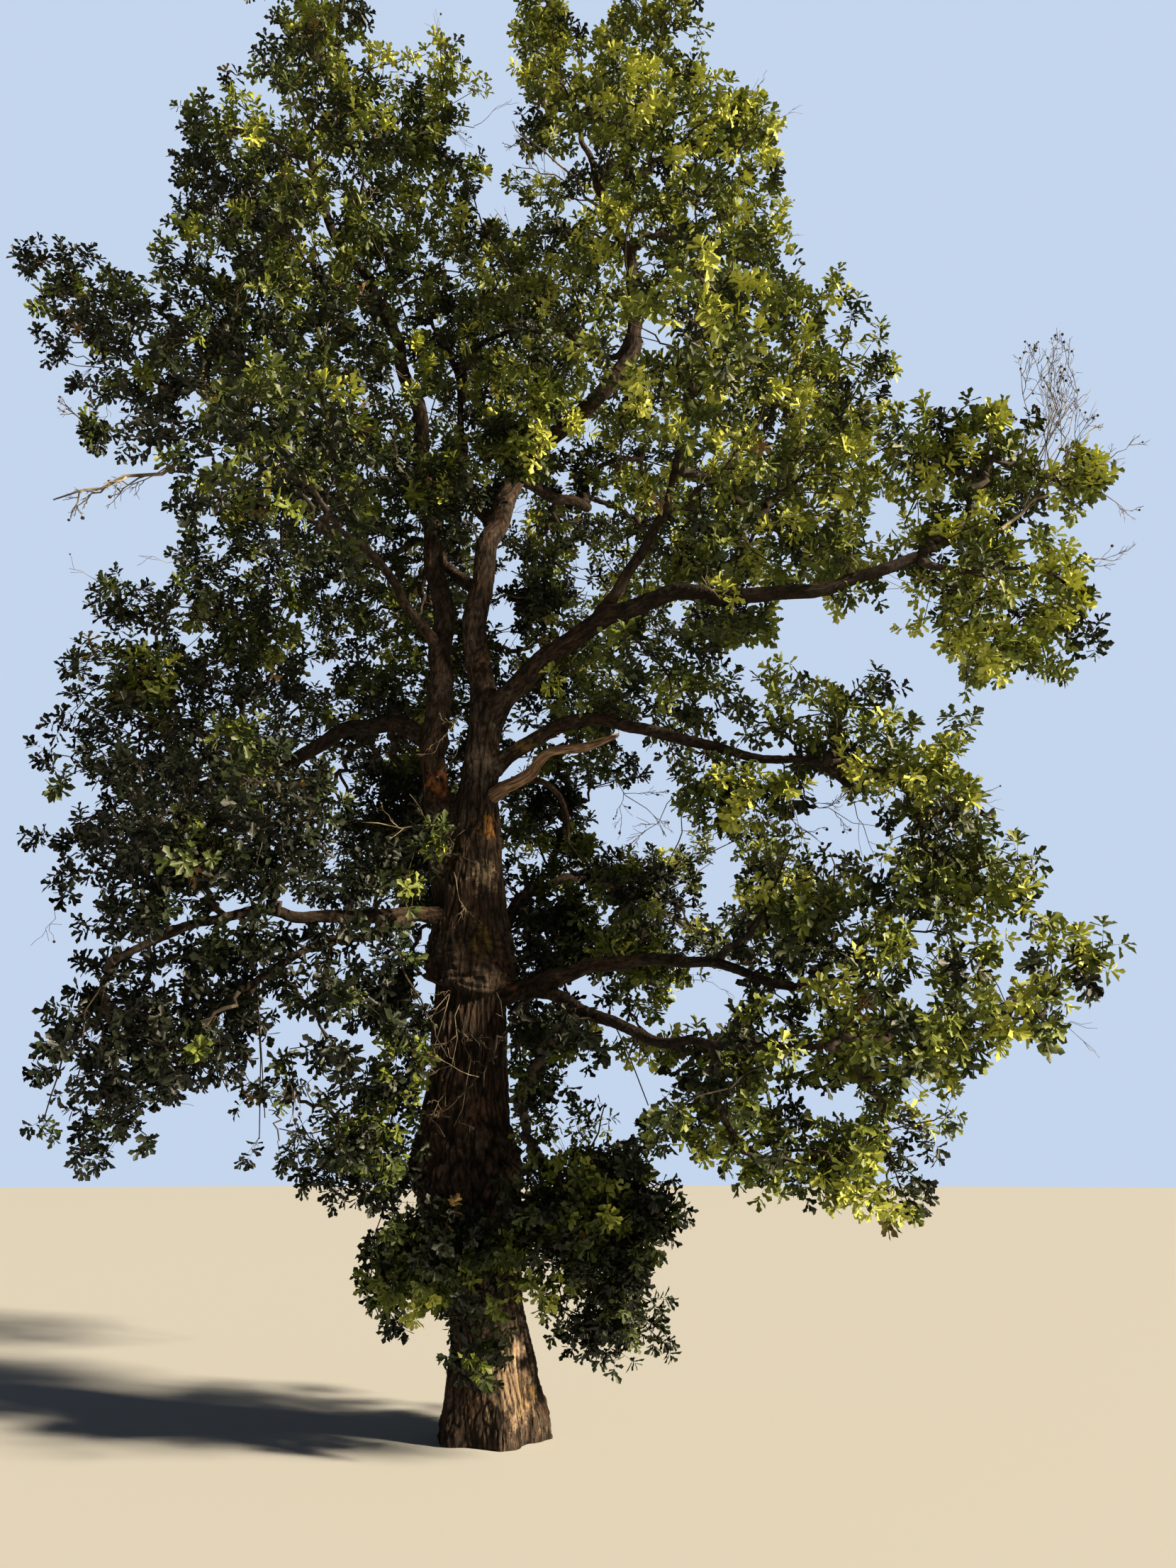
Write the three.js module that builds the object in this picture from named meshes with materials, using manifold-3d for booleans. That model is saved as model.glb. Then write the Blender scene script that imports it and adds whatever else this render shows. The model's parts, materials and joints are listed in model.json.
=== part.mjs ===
// A big open-grown oak: one trunk that forks at 5 m into two stems, the main boughs that leave
// them, and the masses of foliage that the boughs carry. Millimetres, +Z up. The origin is the
// middle of the flat cut under the trunk, and the crown is seen as photographed along +Y.
import * as THREE from "three";
import { mergeVertices } from "three/addons/utils/BufferGeometryUtils.js";
import Module from "manifold-3d";

const wasm = await Module();
wasm.setup();

// Clearance between neighbouring solids.
const GAP = 0.4;
const UP = new THREE.Vector3(0, 0, 1);

// The trunk. Legs are [heading, climb, length]: heading in degrees from +X towards +Y.
// It starts a little under the ground, where the flat cut then takes the end off.
const TRUNK_BELOW = 200;
const TRUNK_LEGS = [
  [180, 87, 900],
  [180, 81, 1730],
  [180, 90, 1230],
  [180, 89, 1720],
  [0, 87, 1750],
];
// Height and radius: the flare, the waist, the burl at 2.4 m, the collars under the boughs.
const TRUNK_GIRTH = [
  [0, 520],
  [320, 430],
  [800, 365],
  [1700, 385],
  [2300, 510],
  [2800, 440],
  [3100, 400],
  [3700, 430],
  [4460, 370],
  [5300, 345],
  [5900, 250],
  [6400, 205],
  [7110, 165],
];
const TRUNK_SIDES = 18;
const TRUNK_RINGS = 18;
// Roots that swell the foot: how many, how far out as a share, and how high they run.
const ROOTS = 5;
const ROOT_SWELL = 0.16;
const ROOT_HEIGHT = 900;

// Every other limb: the limb it leaves, how far along that one, its legs, its radius where it
// leaves and at its tip, and the masses that it ends in.
const LIMB_SIDES = 6;
const RING_SPACING = 620;
const LIMBS = {
  left_stem: {
    from: "trunk", along: 5060, girth: [160, 40], ends: ["top_left"],
    legs: [[-160, 68, 770], [180, 80, 630], [121, 85, 1300], [119, 78, 1050], [142, 80, 2750],
      [-171, 71, 2020], [-159, 57, 1550], [-42, 85, 1590]],
  },
  leader: {
    from: "trunk", along: 7170, girth: [150, 35], ends: ["top_right_west"],
    legs: [[180, 89, 1630], [0, 84, 820], [36, 69, 960], [-47, 11, 840], [-30, 27, 660],
      [16, 74, 1360], [130, 73, 1370], [155, 73, 2480]],
  },
  right_high_bough: {
    from: "trunk", along: 7070, girth: [125, 45], ends: ["right_arm", "right_arm_tip"],
    legs: [[-33, 54, 630], [-33, 17, 770], [-38, 26, 730], [-29, -10, 1050], [-17, -6, 700],
      [-5, 11, 1260], [11, 35, 1290]],
  },
  right_riser: {
    from: "right_high_bough", along: 1950, girth: [75, 30], ends: ["right_front"],
    legs: [[15, 60, 780], [0, 63, 870], [-85, 37, 870]],
  },
  right_middle_bough: {
    from: "trunk", along: 6420, girth: [95, 30], ends: ["right_bough_end"],
    legs: [[-24, 43, 990], [-37, -7, 840], [-28, -29, 980], [-15, -17, 1660], [0, -48, 980]],
  },
  dead_stub: {
    from: "trunk", along: 6270, girth: [75, 35], ends: [], dead: true,
    legs: [[-36, 11, 860], [-34, 24, 580], [-30, 0, 400]],
  },
  back_low_bough: {
    from: "trunk", along: 4710, girth: [85, 40], ends: ["back_right_low"],
    legs: [[50, 38, 980], [58, 29, 810], [53, 7, 1260]],
  },
  right_low_bough: {
    from: "trunk", along: 4110, girth: [100, 35], ends: ["low_right_end"],
    legs: [[-22, 13, 840], [-33, 8, 1130], [-28, -10, 1090], [-23, -24, 1140]],
  },
  right_low_fork: {
    from: "right_low_bough", along: 640, girth: [80, 30], ends: ["low_right_end"],
    legs: [[-47, -14, 990], [-49, -23, 1310], [-38, 1, 800], [-17, 0, 680]],
  },
  left_middle_bough: {
    from: "left_stem", along: 1920, girth: [115, 50], ends: ["left_end"],
    legs: [[149, 27, 1090], [158, -21, 580], [180, -24, 920], [-164, -8, 900]],
  },
  left_low_bough: {
    from: "trunk", along: 4960, girth: [90, 35], ends: ["low_left_end"],
    legs: [[-146, 3, 1080], [-137, -12, 600], [-139, -12, 1390], [180, -38, 790]],
  },
  left_low_fork: {
    from: "left_low_bough", along: 640, girth: [65, 28], ends: ["low_left_end"],
    legs: [[-131, -25, 800], [-132, -25, 1050], [-156, -48, 1090]],
  },
  left_high_limb: {
    from: "left_stem", along: 3130, girth: [70, 30], ends: ["left_front"],
    legs: [[-121, 31, 1090], [-118, 3, 570], [-106, -16, 1080]],
  },
  left_arm_limb: {
    from: "left_stem", along: 5270, girth: [75, 30], ends: ["left_arm"],
    legs: [[-174, 45, 1280], [-171, 22, 1320]],
  },
  leader_branch_left: {
    from: "leader", along: 1550, girth: [90, 45], ends: ["back_left_high"],
    legs: [[124, 39, 1240], [129, 42, 2000]],
  },
  leader_branch_back: {
    from: "leader", along: 2450, girth: [85, 35], ends: ["back_top"],
    legs: [[120, 50, 1610], [99, 68, 1380], [101, 74, 1450]],
  },
  back_high_bough: {
    from: "leader", along: 3300, girth: [90, 45], ends: ["back_right_high"],
    legs: [[52, 9, 1280], [56, 10, 1100]],
  },
  dead_spire: {
    from: "right_high_bough", along: 5900, girth: [40, 14], dead: true,
    ends: ["right_arm", "right_arm_tip", "right_arm_spur"],
    legs: [[10, 25, 950], [0, 74, 760], [0, 85, 1080]],
  },
};

// The masses of foliage: the middle of each and its half sizes along X, Y and Z.
const MASSES = {
  top_left: { at: [-2750, 0, 16400], half: [950, 1400, 1400] },
  top_left_shoulder: { at: [-3650, 400, 14500], half: [1050, 1500, 1700] },
  top_middle: { at: [-1350, 600, 15600], half: [900, 1500, 1350] },
  upper_left_front: { at: [-2250, -500, 13100], half: [1400, 1700, 1700] },
  top_right_west: { at: [450, 0, 16400], half: [850, 1400, 1450] },
  top_right_east: { at: [1650, 200, 16300], half: [850, 1500, 1500] },
  upper_right_shoulder: { at: [2550, 300, 14600], half: [950, 1700, 1400] },
  upper_right_front: { at: [1450, -500, 13600], half: [1300, 1700, 1600] },
  left_arm_tip: { at: [-5300, 0, 12300], half: [900, 1100, 850] },
  left_arm: { at: [-3850, 0, 11600], half: [1300, 1600, 1450] },
  left_front: { at: [-1900, -3000, 8300], half: [1000, 1400, 1050] },
  left_heart: { at: [-1900, -300, 10600], half: [1450, 1700, 1600] },
  middle_heart: { at: [-250, 600, 12800], half: [1400, 1600, 2000] },
  right_front: { at: [1700, -2700, 9600], half: [1150, 1500, 1150] },
  right_shoulder: { at: [2900, 300, 12500], half: [1300, 1700, 1250] },
  right_shoulder_outer: { at: [3650, 100, 10900], half: [1150, 1700, 1200] },
  right_heart: { at: [2750, -900, 9350], half: [1300, 1600, 1200] },
  right_arm: { at: [4550, -1300, 9250], half: [1050, 1200, 750] },
  right_arm_tip: { at: [4850, -1400, 7700], half: [1050, 1200, 950] },
  right_arm_spur: { at: [5750, -1350, 9050], half: [450, 550, 430] },
  right_bough_crest: { at: [3250, -1250, 6700], half: [1050, 1100, 800] },
  right_bough_root: { at: [1400, -300, 7150], half: [1200, 1300, 900] },
  right_bough_end: { at: [4050, -1400, 5500], half: [950, 1400, 1150] },
  low_right_tip: { at: [4800, -1500, 4150], half: [650, 900, 600] },
  low_right_heart: { at: [3100, -800, 4800], half: [1150, 1500, 950] },
  low_right_end: { at: [3500, -1800, 3600], half: [1100, 1400, 750] },
  low_right_weeping: { at: [3250, -1800, 2550], half: [800, 1000, 700] },
  low_right_near: { at: [1950, -2400, 2950], half: [700, 850, 600] },
  left_crest: { at: [-3050, 200, 8550], half: [1300, 1700, 1350] },
  left_end: { at: [-3700, -200, 6300], half: [1300, 1700, 1500] },
  left_inner: { at: [-1800, 1400, 8300], half: [1150, 1400, 1400] },
  low_left_front: { at: [-2250, -1900, 5300], half: [1100, 1300, 950] },
  low_left_end: { at: [-3100, -900, 3450], half: [1200, 1500, 1200] },
  low_left_weeping: { at: [-1350, -1200, 3950], half: [800, 1100, 1350] },
  skirt_right: { at: [1000, 300, 1900], half: [900, 1100, 1250] },
  skirt_left: { at: [-650, -100, 1650], half: [750, 950, 850] },
  back_top: { at: [-300, 2300, 13900], half: [1700, 1500, 1700] },
  back_left_high: { at: [-2000, 2700, 11100], half: [1900, 1800, 1800] },
  back_right_high: { at: [1450, 2700, 10800], half: [1800, 2000, 1850] },
  back_left_low: { at: [-2500, 3100, 7000], half: [1900, 2000, 2000] },
  back_right_low: { at: [2000, 2900, 5700], half: [1900, 2000, 1500] },
};
// A mass takes more facets from this mean half size up.
const BIG_MASS = 1550;
// Swellings on a mass: how many, how high as a share of its radius, and how tightly they curve.
const SWELLINGS = 9;
const SWELLING_HEIGHT = 0.3;
const SWELLING_TIGHTNESS = 7;
// Two masses share a flat joint when their middles are nearer than this share of both radii.
const JOINT_REACH = 1.45;

const finishes = {
  bark: new THREE.MeshStandardMaterial({ color: 0x5b4a39, roughness: 0.95, metalness: 0 }),
  deadWood: new THREE.MeshStandardMaterial({ color: 0xa39880, roughness: 0.9, metalness: 0 }),
  foliage: new THREE.MeshStandardMaterial({ color: 0x566325, roughness: 0.8, metalness: 0 }),
};

// A seeded series of numbers between 0 and 1. The constants spread the seed and the state over
// all 32 bits.
const SEED_STEP = 2654435761;
const STATE_STEP = 0x6d2b79f5;
const STATES = 2 ** 32;
function series(seed) {
  let state = seed * SEED_STEP;
  return () => {
    state = (state + STATE_STEP) | 0;
    let mixed = Math.imul(state ^ (state >>> 15), 1 | state);
    mixed = (mixed + Math.imul(mixed ^ (mixed >>> 7), 61 | mixed)) ^ mixed;
    return ((mixed ^ (mixed >>> 14)) >>> 0) / STATES;
  };
}

// A closed three.js geometry as a solid that can be cut.
function solidOf(geometry) {
  geometry.deleteAttribute("normal");
  geometry.deleteAttribute("uv");
  const merged = mergeVertices(geometry);
  return new wasm.Manifold(new wasm.Mesh({
    numProp: 3,
    vertProperties: Float32Array.from(merged.attributes.position.array),
    triVerts: Uint32Array.from(merged.index.array),
  }));
}

// A solid as a mesh of the group.
function meshOf(name, solid, finish) {
  const cut = solid.getMesh();
  const geometry = new THREE.BufferGeometry();
  geometry.setAttribute("position", new THREE.BufferAttribute(cut.vertProperties, 3));
  geometry.setIndex(new THREE.BufferAttribute(cut.triVerts, 1));
  geometry.computeVertexNormals();
  const mesh = new THREE.Mesh(geometry, finish);
  mesh.name = name;
  return mesh;
}

// The largest piece of a solid that cuts have parted.
function largest(solid) {
  const pieces = solid.decompose();
  return pieces.reduce((best, piece) => (piece.volume() > best.volume() ? piece : best));
}

// The curve through a start and the legs that follow it.
function curveFrom(start, legs) {
  const points = [start.clone()];
  for (const [heading, climb, length] of legs) {
    const turn = THREE.MathUtils.degToRad(heading);
    const rise = THREE.MathUtils.degToRad(climb);
    const leg = new THREE.Vector3(
      Math.cos(rise) * Math.cos(turn), Math.cos(rise) * Math.sin(turn), Math.sin(rise));
    points.push(points[points.length - 1].clone().addScaledVector(leg, length));
  }
  return new THREE.CatmullRomCurve3(points, false, "centripetal");
}

// A limb whose chord rises more steeply than this starts its rings from X, and others from Z.
const STEEP = 0.7;

// A closed tube along a curve: a cylinder whose rings are carried along it, each with the
// radius that radiusAt gives for the share of the way and the angle round the limb. The tube
// is wider all round, and longer at both ends, by extra.
function tube(curve, sides, rings, radiusAt, extra) {
  const geometry = new THREE.CylinderGeometry(1, 1, 1, sides, rings);
  const places = geometry.attributes.position;
  const chord = curve.getPointAt(1).sub(curve.getPointAt(0)).normalize();
  const across = Math.abs(chord.z) > STEEP ? new THREE.Vector3(1, 0, 0) : UP;
  for (let i = 0; i < places.count; i += 1) {
    const share = Math.min(1, Math.max(0, places.getY(i) + 0.5));
    const along = curve.getTangentAt(share);
    const first = across.clone().addScaledVector(along, -across.dot(along)).normalize();
    const second = along.clone().cross(first);
    const reach = Math.hypot(places.getX(i), places.getZ(i));
    const angle = Math.atan2(places.getX(i), places.getZ(i));
    const radius = reach * (radiusAt(share, angle) + extra);
    const end = Math.abs(share - 0.5) === 0.5 ? Math.sign(share - 0.5) : 0;
    const place = curve.getPointAt(share)
      .addScaledVector(along, end * extra)
      .addScaledVector(first, radius * Math.cos(angle))
      .addScaledVector(second, radius * Math.sin(angle));
    places.setXYZ(i, place.x, place.y, place.z);
  }
  return solidOf(geometry);
}

// The radius of the trunk at a height, without its roots.
function trunkRadius(height) {
  const above = TRUNK_GIRTH.findIndex(([level]) => level > height);
  if (above === 0) return TRUNK_GIRTH[0][1];
  if (above < 0) return TRUNK_GIRTH[TRUNK_GIRTH.length - 1][1];
  const [low, below] = TRUNK_GIRTH[above - 1];
  const [high, next] = TRUNK_GIRTH[above];
  return THREE.MathUtils.lerp(below, next, (height - low) / (high - low));
}

// The trunk, with the flat cut at ground level.
function trunkSolid(curve, extra) {
  const radiusAt = (share, angle) => {
    const height = curve.getPointAt(share).z;
    const fade = Math.max(0, 1 - height / ROOT_HEIGHT);
    const swell = 1 + ROOT_SWELL * fade * Math.cos(ROOTS * angle);
    return trunkRadius(height) * swell;
  };
  return tube(curve, TRUNK_SIDES, TRUNK_RINGS, radiusAt, extra).trimByPlane([0, 0, 1], 0);
}

// A limb, tapering evenly from where it leaves its parent to its tip.
function limbSolid(curve, girth, extra) {
  const rings = Math.round(curve.getLength() / RING_SPACING);
  const radiusAt = (share) => THREE.MathUtils.lerp(girth[0], girth[1], share);
  return tube(curve, LIMB_SIDES, rings, radiusAt, extra);
}

// A mass of foliage: a ball with seeded swellings, stretched to its half sizes.
function massSolid(mass, seed) {
  const mean = (mass.half[0] + mass.half[1] + mass.half[2]) / 3;
  const ball = new THREE.IcosahedronGeometry(1, mean > BIG_MASS ? 2 : 1);
  ball.deleteAttribute("normal");
  ball.deleteAttribute("uv");
  const geometry = mergeVertices(ball);
  const next = series(seed);
  const swellings = Array.from({ length: SWELLINGS }, () => (
    new THREE.Vector3(next() - 0.5, next() - 0.5, next() - 0.5).normalize()));
  const places = geometry.attributes.position;
  const middle = new THREE.Vector3(...mass.at);
  for (let i = 0; i < places.count; i += 1) {
    const out = new THREE.Vector3().fromBufferAttribute(places, i).normalize();
    const nearest = Math.max(...swellings.map((swelling) => out.dot(swelling)));
    const lift = Math.max(0, nearest) ** SWELLING_TIGHTNESS;
    const radius = 1 - SWELLING_HEIGHT / 2 + SWELLING_HEIGHT * lift;
    const place = out.multiplyScalar(radius).multiply(new THREE.Vector3(...mass.half)).add(middle);
    places.setXYZ(i, place.x, place.y, place.z);
  }
  return solidOf(geometry);
}

// How far a mass reaches from its middle in a direction.
function reachOf(mass, direction) {
  const [x, y, z] = mass.half;
  return 1 / Math.hypot(direction.x / x, direction.y / y, direction.z / z);
}

// A mass with a flat joint towards each near neighbour, at the place that suits both sizes.
function jointed(name, solid) {
  const mass = MASSES[name];
  const middle = new THREE.Vector3(...mass.at);
  let cut = solid;
  for (const [other, neighbour] of Object.entries(MASSES)) {
    if (other === name) continue;
    const towards = new THREE.Vector3(...neighbour.at).sub(middle);
    const distance = towards.length();
    towards.normalize();
    const mine = reachOf(mass, towards);
    const theirs = reachOf(neighbour, towards);
    if (distance > JOINT_REACH * (mine + theirs)) continue;
    const joint = middle.dot(towards) + distance * mine / (mine + theirs) - GAP / 2;
    cut = cut.trimByPlane([-towards.x, -towards.y, -towards.z], -joint);
  }
  return cut;
}

// A solid swollen from its middle by the clearance.
function swollen(solid, mass) {
  const mean = (mass.half[0] + mass.half[1] + mass.half[2]) / 3;
  const share = 1 + 2 * GAP / mean;
  const [x, y, z] = mass.at;
  return solid.translate([-x, -y, -z]).scale([share, share, share]).translate([x, y, z]);
}

// The curves of all limbs, each started on its parent's.
const curves = { trunk: curveFrom(new THREE.Vector3(0, 0, -TRUNK_BELOW), TRUNK_LEGS) };
for (const [name, limb] of Object.entries(LIMBS)) {
  const parent = curves[limb.from];
  const start = parent.getPointAt(limb.along / parent.getLength());
  curves[name] = curveFrom(start, limb.legs);
}

// The whole tree.
const tree = new THREE.Group();
const trunk = trunkSolid(curves.trunk, 0);
tree.add(meshOf("trunk", trunk, finishes.bark));

const wide = { trunk: trunkSolid(curves.trunk, GAP) };
for (const [name, limb] of Object.entries(LIMBS)) {
  wide[name] = limbSolid(curves[name], limb.girth, GAP);
}

const masses = {};
Object.entries(MASSES).forEach(([name, mass], index) => {
  let solid = jointed(name, massSolid(mass, index + 1));
  for (const [limbName, limb] of Object.entries(wide)) {
    const ended = LIMBS[limbName] && LIMBS[limbName].ends.includes(name);
    if (!ended) solid = solid.subtract(limb);
  }
  masses[name] = largest(solid);
});

const earlier = ["trunk"];
for (const [name, limb] of Object.entries(LIMBS)) {
  let solid = limbSolid(curves[name], limb.girth, 0);
  for (const other of earlier) solid = solid.subtract(wide[other]);
  for (const end of limb.ends) solid = solid.subtract(swollen(masses[end], MASSES[end]));
  tree.add(meshOf(name, largest(solid), limb.dead ? finishes.deadWood : finishes.bark));
  earlier.push(name);
}
for (const [name, solid] of Object.entries(masses)) {
  tree.add(meshOf(name, solid, finishes.foliage));
}

export default tree;
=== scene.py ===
import heapq
import json
import math

import bpy
import numpy as np
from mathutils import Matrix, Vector, bvhtree, kdtree, noise


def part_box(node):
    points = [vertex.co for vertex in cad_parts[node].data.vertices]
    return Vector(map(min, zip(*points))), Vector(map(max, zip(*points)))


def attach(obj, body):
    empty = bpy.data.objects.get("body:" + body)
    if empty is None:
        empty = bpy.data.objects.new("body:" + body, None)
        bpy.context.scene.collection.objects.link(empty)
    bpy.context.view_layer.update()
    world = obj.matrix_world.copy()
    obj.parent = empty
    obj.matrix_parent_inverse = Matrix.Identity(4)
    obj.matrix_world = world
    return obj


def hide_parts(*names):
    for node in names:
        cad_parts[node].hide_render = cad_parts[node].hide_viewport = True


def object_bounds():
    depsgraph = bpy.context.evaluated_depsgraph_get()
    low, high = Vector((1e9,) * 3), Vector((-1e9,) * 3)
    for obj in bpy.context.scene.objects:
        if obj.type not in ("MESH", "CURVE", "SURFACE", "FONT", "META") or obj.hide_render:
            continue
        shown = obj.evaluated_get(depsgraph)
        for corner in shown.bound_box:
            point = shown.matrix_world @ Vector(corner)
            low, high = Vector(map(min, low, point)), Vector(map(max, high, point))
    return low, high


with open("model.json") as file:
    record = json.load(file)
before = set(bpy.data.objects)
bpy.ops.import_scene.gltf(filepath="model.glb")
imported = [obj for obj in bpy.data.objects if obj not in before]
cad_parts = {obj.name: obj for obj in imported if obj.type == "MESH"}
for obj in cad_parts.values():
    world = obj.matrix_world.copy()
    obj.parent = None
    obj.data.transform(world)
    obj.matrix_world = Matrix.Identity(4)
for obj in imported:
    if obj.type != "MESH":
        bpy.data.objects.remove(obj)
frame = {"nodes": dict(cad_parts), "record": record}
cad_low, cad_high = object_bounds()
bpy.ops.object.select_all(action="DESELECT")

# The timber of the oak: its trunk, stems and boughs, each one round tapering limb of living or dead wood.
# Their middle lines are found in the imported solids, so that bark, boughs, twigs and leaves grow on them.
UP = np.array([0, 0, 1.0])
# A middle line goes through the middles of slices of a limb's skin, long ones first and then rounds of short
# ones.
SKIN_SAMPLES = 2500
FIRST_STEP = 0.7
FEWEST_SLICES = 3
BELOW_ONE = 0.999
LINE_STEP = 0.25
LINE_ROUNDS = 8
# The trunk stands upright, so it is measured in level rings of this half height.
TRUNK_SAMPLES = 20000
RING_HALF = 0.15
# How far the limbs bend aside from an even curve, over what length, and the straight stretch at their root.
CROOK = 0.13
CROOK_LENGTH = 0.55
STRAIGHT_ROOT = 0.5
AXIS_SHIFTS = 7, 19, 31
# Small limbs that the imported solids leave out, with the radius of both ends: a crooked one under the dead
# stub, one low at the left, and three dark ones that cross in the middle of the crown.
SMALL_LIMBS = {
    "under_stub": (((0.15, -0.22, 6.22), (0.50, -0.42, 6.12), (0.58, -0.48, 5.75), (0.66, -0.50, 5.39),
                    (1.02, -0.55, 5.10)), 0.045, 0.018),
    "low_left": (((-0.40, 0.05, 3.62), (-0.72, 0.00, 3.72), (-0.98, -0.06, 3.66), (-1.20, -0.10, 3.45)),
                 0.055, 0.022),
    "back_left_fork": (((-0.86, 1.75, 12.41), (-1.0, 1.7, 13.01), (-1.27, 1.6, 13.37), (-1.39, 1.5, 13.62)),
                       0.060, 0.030),
    "back_right_fork": (((-0.87, 1.75, 12.88), (-0.6, 1.6, 13.25), (-0.2, 1.4, 13.24), (0.15, 1.2, 13.3),
                         (0.35, 1.1, 13.52)), 0.055, 0.028),
    "inner_crossing": (((1.34, -0.65, 11.43), (1.19, -0.4, 11.38), (0.78, 0.0, 11.89), (0.35, 0.4, 12.62)),
                       0.050, 0.025),
}

slot_of = {part["node"]: part["material_slot"] for part in frame["record"]["subparts"]}
living_limbs = [node for node, slot in slot_of.items() if slot == "bark"]
dead_limbs = [node for node, slot in slot_of.items() if slot == "dead_wood"]
masses = [node for node, slot in slot_of.items() if slot == "foliage"]


def unit(vectors):
    """The vectors at length 1."""
    return vectors / np.maximum(np.linalg.norm(vectors, axis=-1, keepdims=True), 1e-9)


def node_surface(node):
    """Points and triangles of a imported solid, with the points that its loose triangles share merged."""
    mesh = frame["nodes"][node].data
    points = np.empty(len(mesh.vertices) * 3, np.float32)
    mesh.vertices.foreach_get("co", points)
    corners = np.empty(len(mesh.loops), np.int32)
    mesh.loops.foreach_get("vertex_index", corners)
    points = np.round(points.reshape(-1, 3).astype(float), 4)
    points, shared = np.unique(points, axis=0, return_inverse=True)
    return points, shared.ravel()[corners].reshape(-1, 3)


def spread_over(points, triangles, count, rng):
    """Random places spread evenly over a surface."""
    a, b, c = (points[triangles[:, corner]] for corner in range(3))
    area = np.linalg.norm(np.cross(b - a, c - a), axis=1)
    chosen = rng.choice(len(triangles), count, p=area / area.sum())
    u, v = rng.random((2, count, 1))
    beyond = u + v > 1
    u, v = np.where(beyond, 1 - u, u), np.where(beyond, 1 - v, v)
    return a[chosen] + u * (b - a)[chosen] + v * (c - a)[chosen]


def way_from(start, points, triangles):
    """The shortest way along a solid's edges from one of its points to each other one."""
    edges = np.concatenate([triangles[:, [0, 1]], triangles[:, [1, 2]], triangles[:, [2, 0]]])
    edges = np.concatenate([edges, edges[:, ::-1]])
    length = np.linalg.norm(points[edges[:, 0]] - points[edges[:, 1]], axis=1)
    way = np.full(len(points), math.inf)
    way[start] = 0
    for _ in range(len(points)):
        before = way.copy()
        np.minimum.at(way, edges[:, 1], way[edges[:, 0]] + length)
        if np.array_equal(way, before):
            break
    return way


def spaced(line, step):
    """The same line with evenly spaced points."""
    along = np.concatenate([[0], np.cumsum(np.linalg.norm(np.diff(line, axis=0), axis=1))])
    places = np.linspace(0, along[-1], max(4, int(along[-1] / step) + 1))
    return np.stack([np.interp(places, along, line[:, axis]) for axis in range(3)], 1)


def nearest_on(line, places):
    """For each place the number of the nearest point of a line."""
    return np.argmin(np.linalg.norm(places[:, None] - line[None], axis=2), axis=1)


def middle_line(node, rng):
    """The middle line of a limb from its thick end to its tip, and its radius at each point of the line."""
    points, triangles = node_surface(node)
    skin = spread_over(points, triangles, SKIN_SAMPLES, rng)
    way = way_from(int(np.argmax(way_from(0, points, triangles))), points, triangles)
    slice_count = max(FEWEST_SLICES, int(way.max() / FIRST_STEP))
    slices = (way / way.max() * slice_count * BELOW_ONE).astype(int)
    line = np.array([points[slices == part].mean(0) for part in np.unique(slices)])
    for _ in range(LINE_ROUNDS):
        line = spaced(line, LINE_STEP)
        nearest = nearest_on(line, skin)
        line = np.array([skin[nearest == part].mean(0) for part in np.unique(nearest)])
        line[1:-1] = 0.5 * line[1:-1] + 0.25 * (line[:-2] + line[2:])
    for end, inner in ((0, 1), (-1, -2)):
        outward = unit(line[end] - line[inner])
        beyond = (skin - line[end])[np.linalg.norm(skin - line[end], axis=1) < 2 * LINE_STEP] @ outward
        line[end] = line[end] + outward * max(0, beyond.max())
    line = spaced(line, LINE_STEP)
    ahead = unit(np.gradient(line, axis=0))
    nearest = nearest_on(line, skin)
    filled = np.unique(nearest)
    out = skin - line[nearest]
    out -= np.sum(out * ahead[nearest], axis=1, keepdims=True) * ahead[nearest]
    reach = np.linalg.norm(out, axis=1)
    radius = np.interp(np.arange(len(line)), filled, [reach[nearest == part].mean() for part in filled])
    radius[0], radius[-1] = radius[1], radius[-2]
    if radius[:3].mean() < radius[-3:].mean():
        line, radius = line[::-1], radius[::-1]
    return line, radius


def smooth_noise(places):
    """Noise between -1 and 1, smooth over one unit. A number added to the places gives other noise."""
    return np.array([noise.noise(place) for place in places.tolist()])


def crooked(line, radius):
    """A limb's line with the bends of real wood."""
    along = np.concatenate([[0], np.cumsum(np.linalg.norm(np.diff(line, axis=0), axis=1))])
    bends = np.stack([smooth_noise(line / CROOK_LENGTH + shift) for shift in AXIS_SHIFTS], 1)
    return line + CROOK * bends * np.minimum(1, along / STRAIGHT_ROOT)[:, None], radius


def upright_line(node, rng):
    """The middle line and the radii of a thick upright limb, measured level by level."""
    skin = spread_over(*node_surface(node), TRUNK_SAMPLES, rng)
    line, radius = [], []
    for level in np.arange(skin[:, 2].min(), skin[:, 2].max(), LINE_STEP):
        ring = skin[np.abs(skin[:, 2] - level) < RING_HALF][:, :2]
        line.append([*(ring.min(0) + ring.max(0)) / 2, level])
        radius.append(np.ptp(ring, axis=0).mean() / 2)
    line = np.array(line)
    line[1:-1] = 0.5 * line[1:-1] + 0.25 * (line[:-2] + line[2:])
    return line, np.array(radius)


limb_rng = np.random.default_rng(seed=11)
limbs = {"trunk": upright_line("trunk", limb_rng)}
for node in living_limbs + dead_limbs:
    if node != "trunk":
        limbs[node] = crooked(*middle_line(node, limb_rng))
for name, (line, root_radius, tip_radius) in SMALL_LIMBS.items():
    line = spaced(np.array(line), LINE_STEP)
    limbs[name] = crooked(line, np.linspace(root_radius, tip_radius, len(line)))
wooden_limbs = [*living_limbs, *SMALL_LIMBS]

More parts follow.
